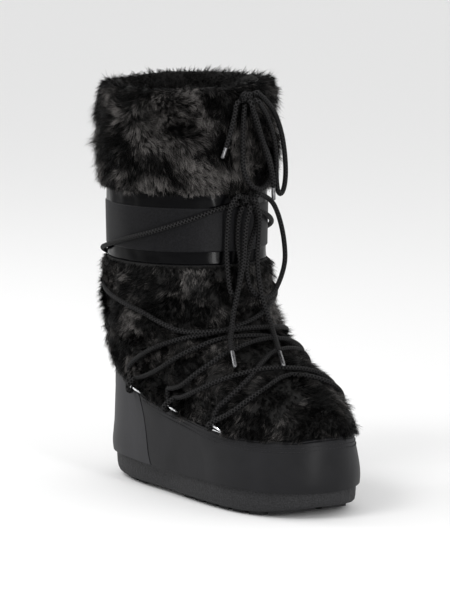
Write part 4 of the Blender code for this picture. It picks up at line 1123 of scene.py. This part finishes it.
def make_cuff_skin(backing):
    """The cuff's backing: a ring that rolls over the collar's rim."""
    around, share = skin_grid()
    outer, outward, _ = cuff_points(around, share)
    swell = 0.0006 * waves(outer, 0.02, 41) * part_of(share, 0.1) * part_of(1 - share, 0.1)
    outer = outer + outward * swell[..., None]
    inner = [lay(around[:1], z, out)[0] for z, out in CUFF_BACK]
    grid = np.concatenate([outer, *inner], axis=0)
    index = np.arange(grid.shape[0] * SKIN_COLUMNS).reshape(-1, SKIN_COLUMNS)
    faces = [quads_of(index, wrap_rows=True, wrap_columns=True)]
    keep(mesh_object("fur_cuff_skin", grid.reshape(-1, 3), faces, backing), "fur", "fur_cuff")


def make_cuff_fur(pile, backing, count):
    """The cuff's pile: hanging outside, combed over the rim, short inside."""
    make_cuff_skin(backing)
    around = RNG.uniform(0.0, 1.0, count)
    share = RNG.beta(1.0, 1.0, count)
    run = run_of(CUFF_SKIN)
    step = np.interp(share * run[-1], run, np.linspace(0.0, 1.0, len(CUFF_SKIN)))
    root, outward, down = cuff_points(around, step, -0.0003)
    height = root[:, 2]
    inside = part_of(step - 0.70, 0.10)
    down = np.where((step > 0.76)[:, None], -down, down)
    comb = combed(root, down, np.cross(outward, down), 51, CUFF_SWIRL)
    top = part_of(height - 0.340, 0.018)
    near = near_share(around)
    lift = np.clip(0.34 + 0.22 * waves(root, 0.030, 53), 0.12, 0.80)
    lift = lift * (1 - 0.5 * part_of(0.283 - height, 0.013)) + top * (0.25 - 0.03 * near)
    length = CUFF_LENGTH * (1 - 0.25 * top) * (1 - 0.75 * inside)
    length = length * (1 - 0.40 * part_of(0.284 - height, 0.013))
    front = np.clip(1 - np.abs(around - 0.5) / 0.11, 0.0, 1.0)
    lift = np.clip(lift * (1 - 0.45 * front * (height < 0.352)), 0.08, 0.85)
    # painted shade inside the collar, and a painted highlight on the near side of the rim's top
    light = (1 - 0.9 * part_of(step - 0.62, 0.10)) * (1 + 0.35 * top * near)
    make_strands("fur_cuff_pile", root, outward, comb, length, lift, pile, 55, light)


# ---- floor and light
def soft_light(name, location, aim, size, power):
    """A rectangular light that faces its aim."""
    light = bpy.data.lights.new(name, "AREA")
    light.shape = "RECTANGLE"
    light.size, light.size_y = size
    light.energy = power
    obj = bpy.data.objects.new(name, light)
    obj.location = location
    obj.rotation_euler = (Vector(aim) - Vector(location)).to_track_quat("-Z", "Y").to_euler()
    bpy.context.scene.collection.objects.link(obj)


def make_stage():
    """A pale floor, an even white room and three soft lights; Standard keeps the blacks deep."""
    mat = Look("pale_floor", (0.80, 0.80, 0.80), 0.8).mat
    corners = [(x * FLOOR_REACH, y * FLOOR_REACH, 0) for x, y in ((-1, -1), (1, -1), (1, 1), (-1, 1))]
    floor = mesh_object("floor", corners, [np.array([[0, 1, 2, 3]])], mat)
    bpy.context.scene.view_settings.view_transform = "Standard"
    world = bpy.data.worlds.new("soft_room")
    world.use_nodes = True
    background = world.node_tree.nodes["Background"]
    background.inputs["Color"].default_value = (1.0, 1.0, 1.0, 1.0)
    background.inputs["Strength"].default_value = 0.95
    bpy.context.scene.world = world
    for light in LIGHTS:
        soft_light(*light)


def dress_cad():
    """Materials for the CAD nodes that stay: the sole, the insole and the lined upper."""
    felt = cloth_material("insole_felt_dressed", (0.010, 0.010, 0.011), (0.030, 0.030, 0.033), 900.0)
    lining = cloth_material("lining_dressed", (0.004, 0.004, 0.0045), (0.014, 0.014, 0.016), 700.0)
    for name, mat in (("outsole", rubber_material()), ("insole", felt), ("upper", lining)):
        for slot in bpy.data.objects[name].material_slots:
            slot.material = mat


def main():
    """Makes the camera and the cords first, then the panels, the pile and the room."""
    place_camera()
    braid = braid_material("lace_plait")
    metal = metal_material("tip_metal", (0.15, 0.15, 0.155), 0.26)
    make_cords(braid, metal)
    lace = make_lace(braid)
    make_rings(metal_material("loop_wire", (0.85, 0.86, 0.88), 0.14))
    rand_mat = coated_material("rand_smooth", (0.0075, 0.0075, 0.0083), (0.0125, 0.0125, 0.0138), 0.50)
    counter_mat = coated_material("counter_smooth", (0.016, 0.016, 0.0178), (0.0235, 0.0235, 0.026), 0.50)
    make_rand_and_counter(rand_mat, counter_mat)
    thread = cloth_material("thread_dark", (0.010, 0.010, 0.011), (0.026, 0.026, 0.028), 2000.0)
    make_stitches(thread)
    make_binding(coated_material("binding_smooth", (0.007, 0.007, 0.008), (0.013, 0.013, 0.014), 0.45))
    make_band(glossy_material(), panel_material())
    pile, backing = fur_material(), skin_material()
    count = int(STRANDS * (1.0))
    make_lower_fur(pile, backing, lace, count)
    make_cuff_fur(pile, backing, count)
    dress_cad()
    make_stage()


main()
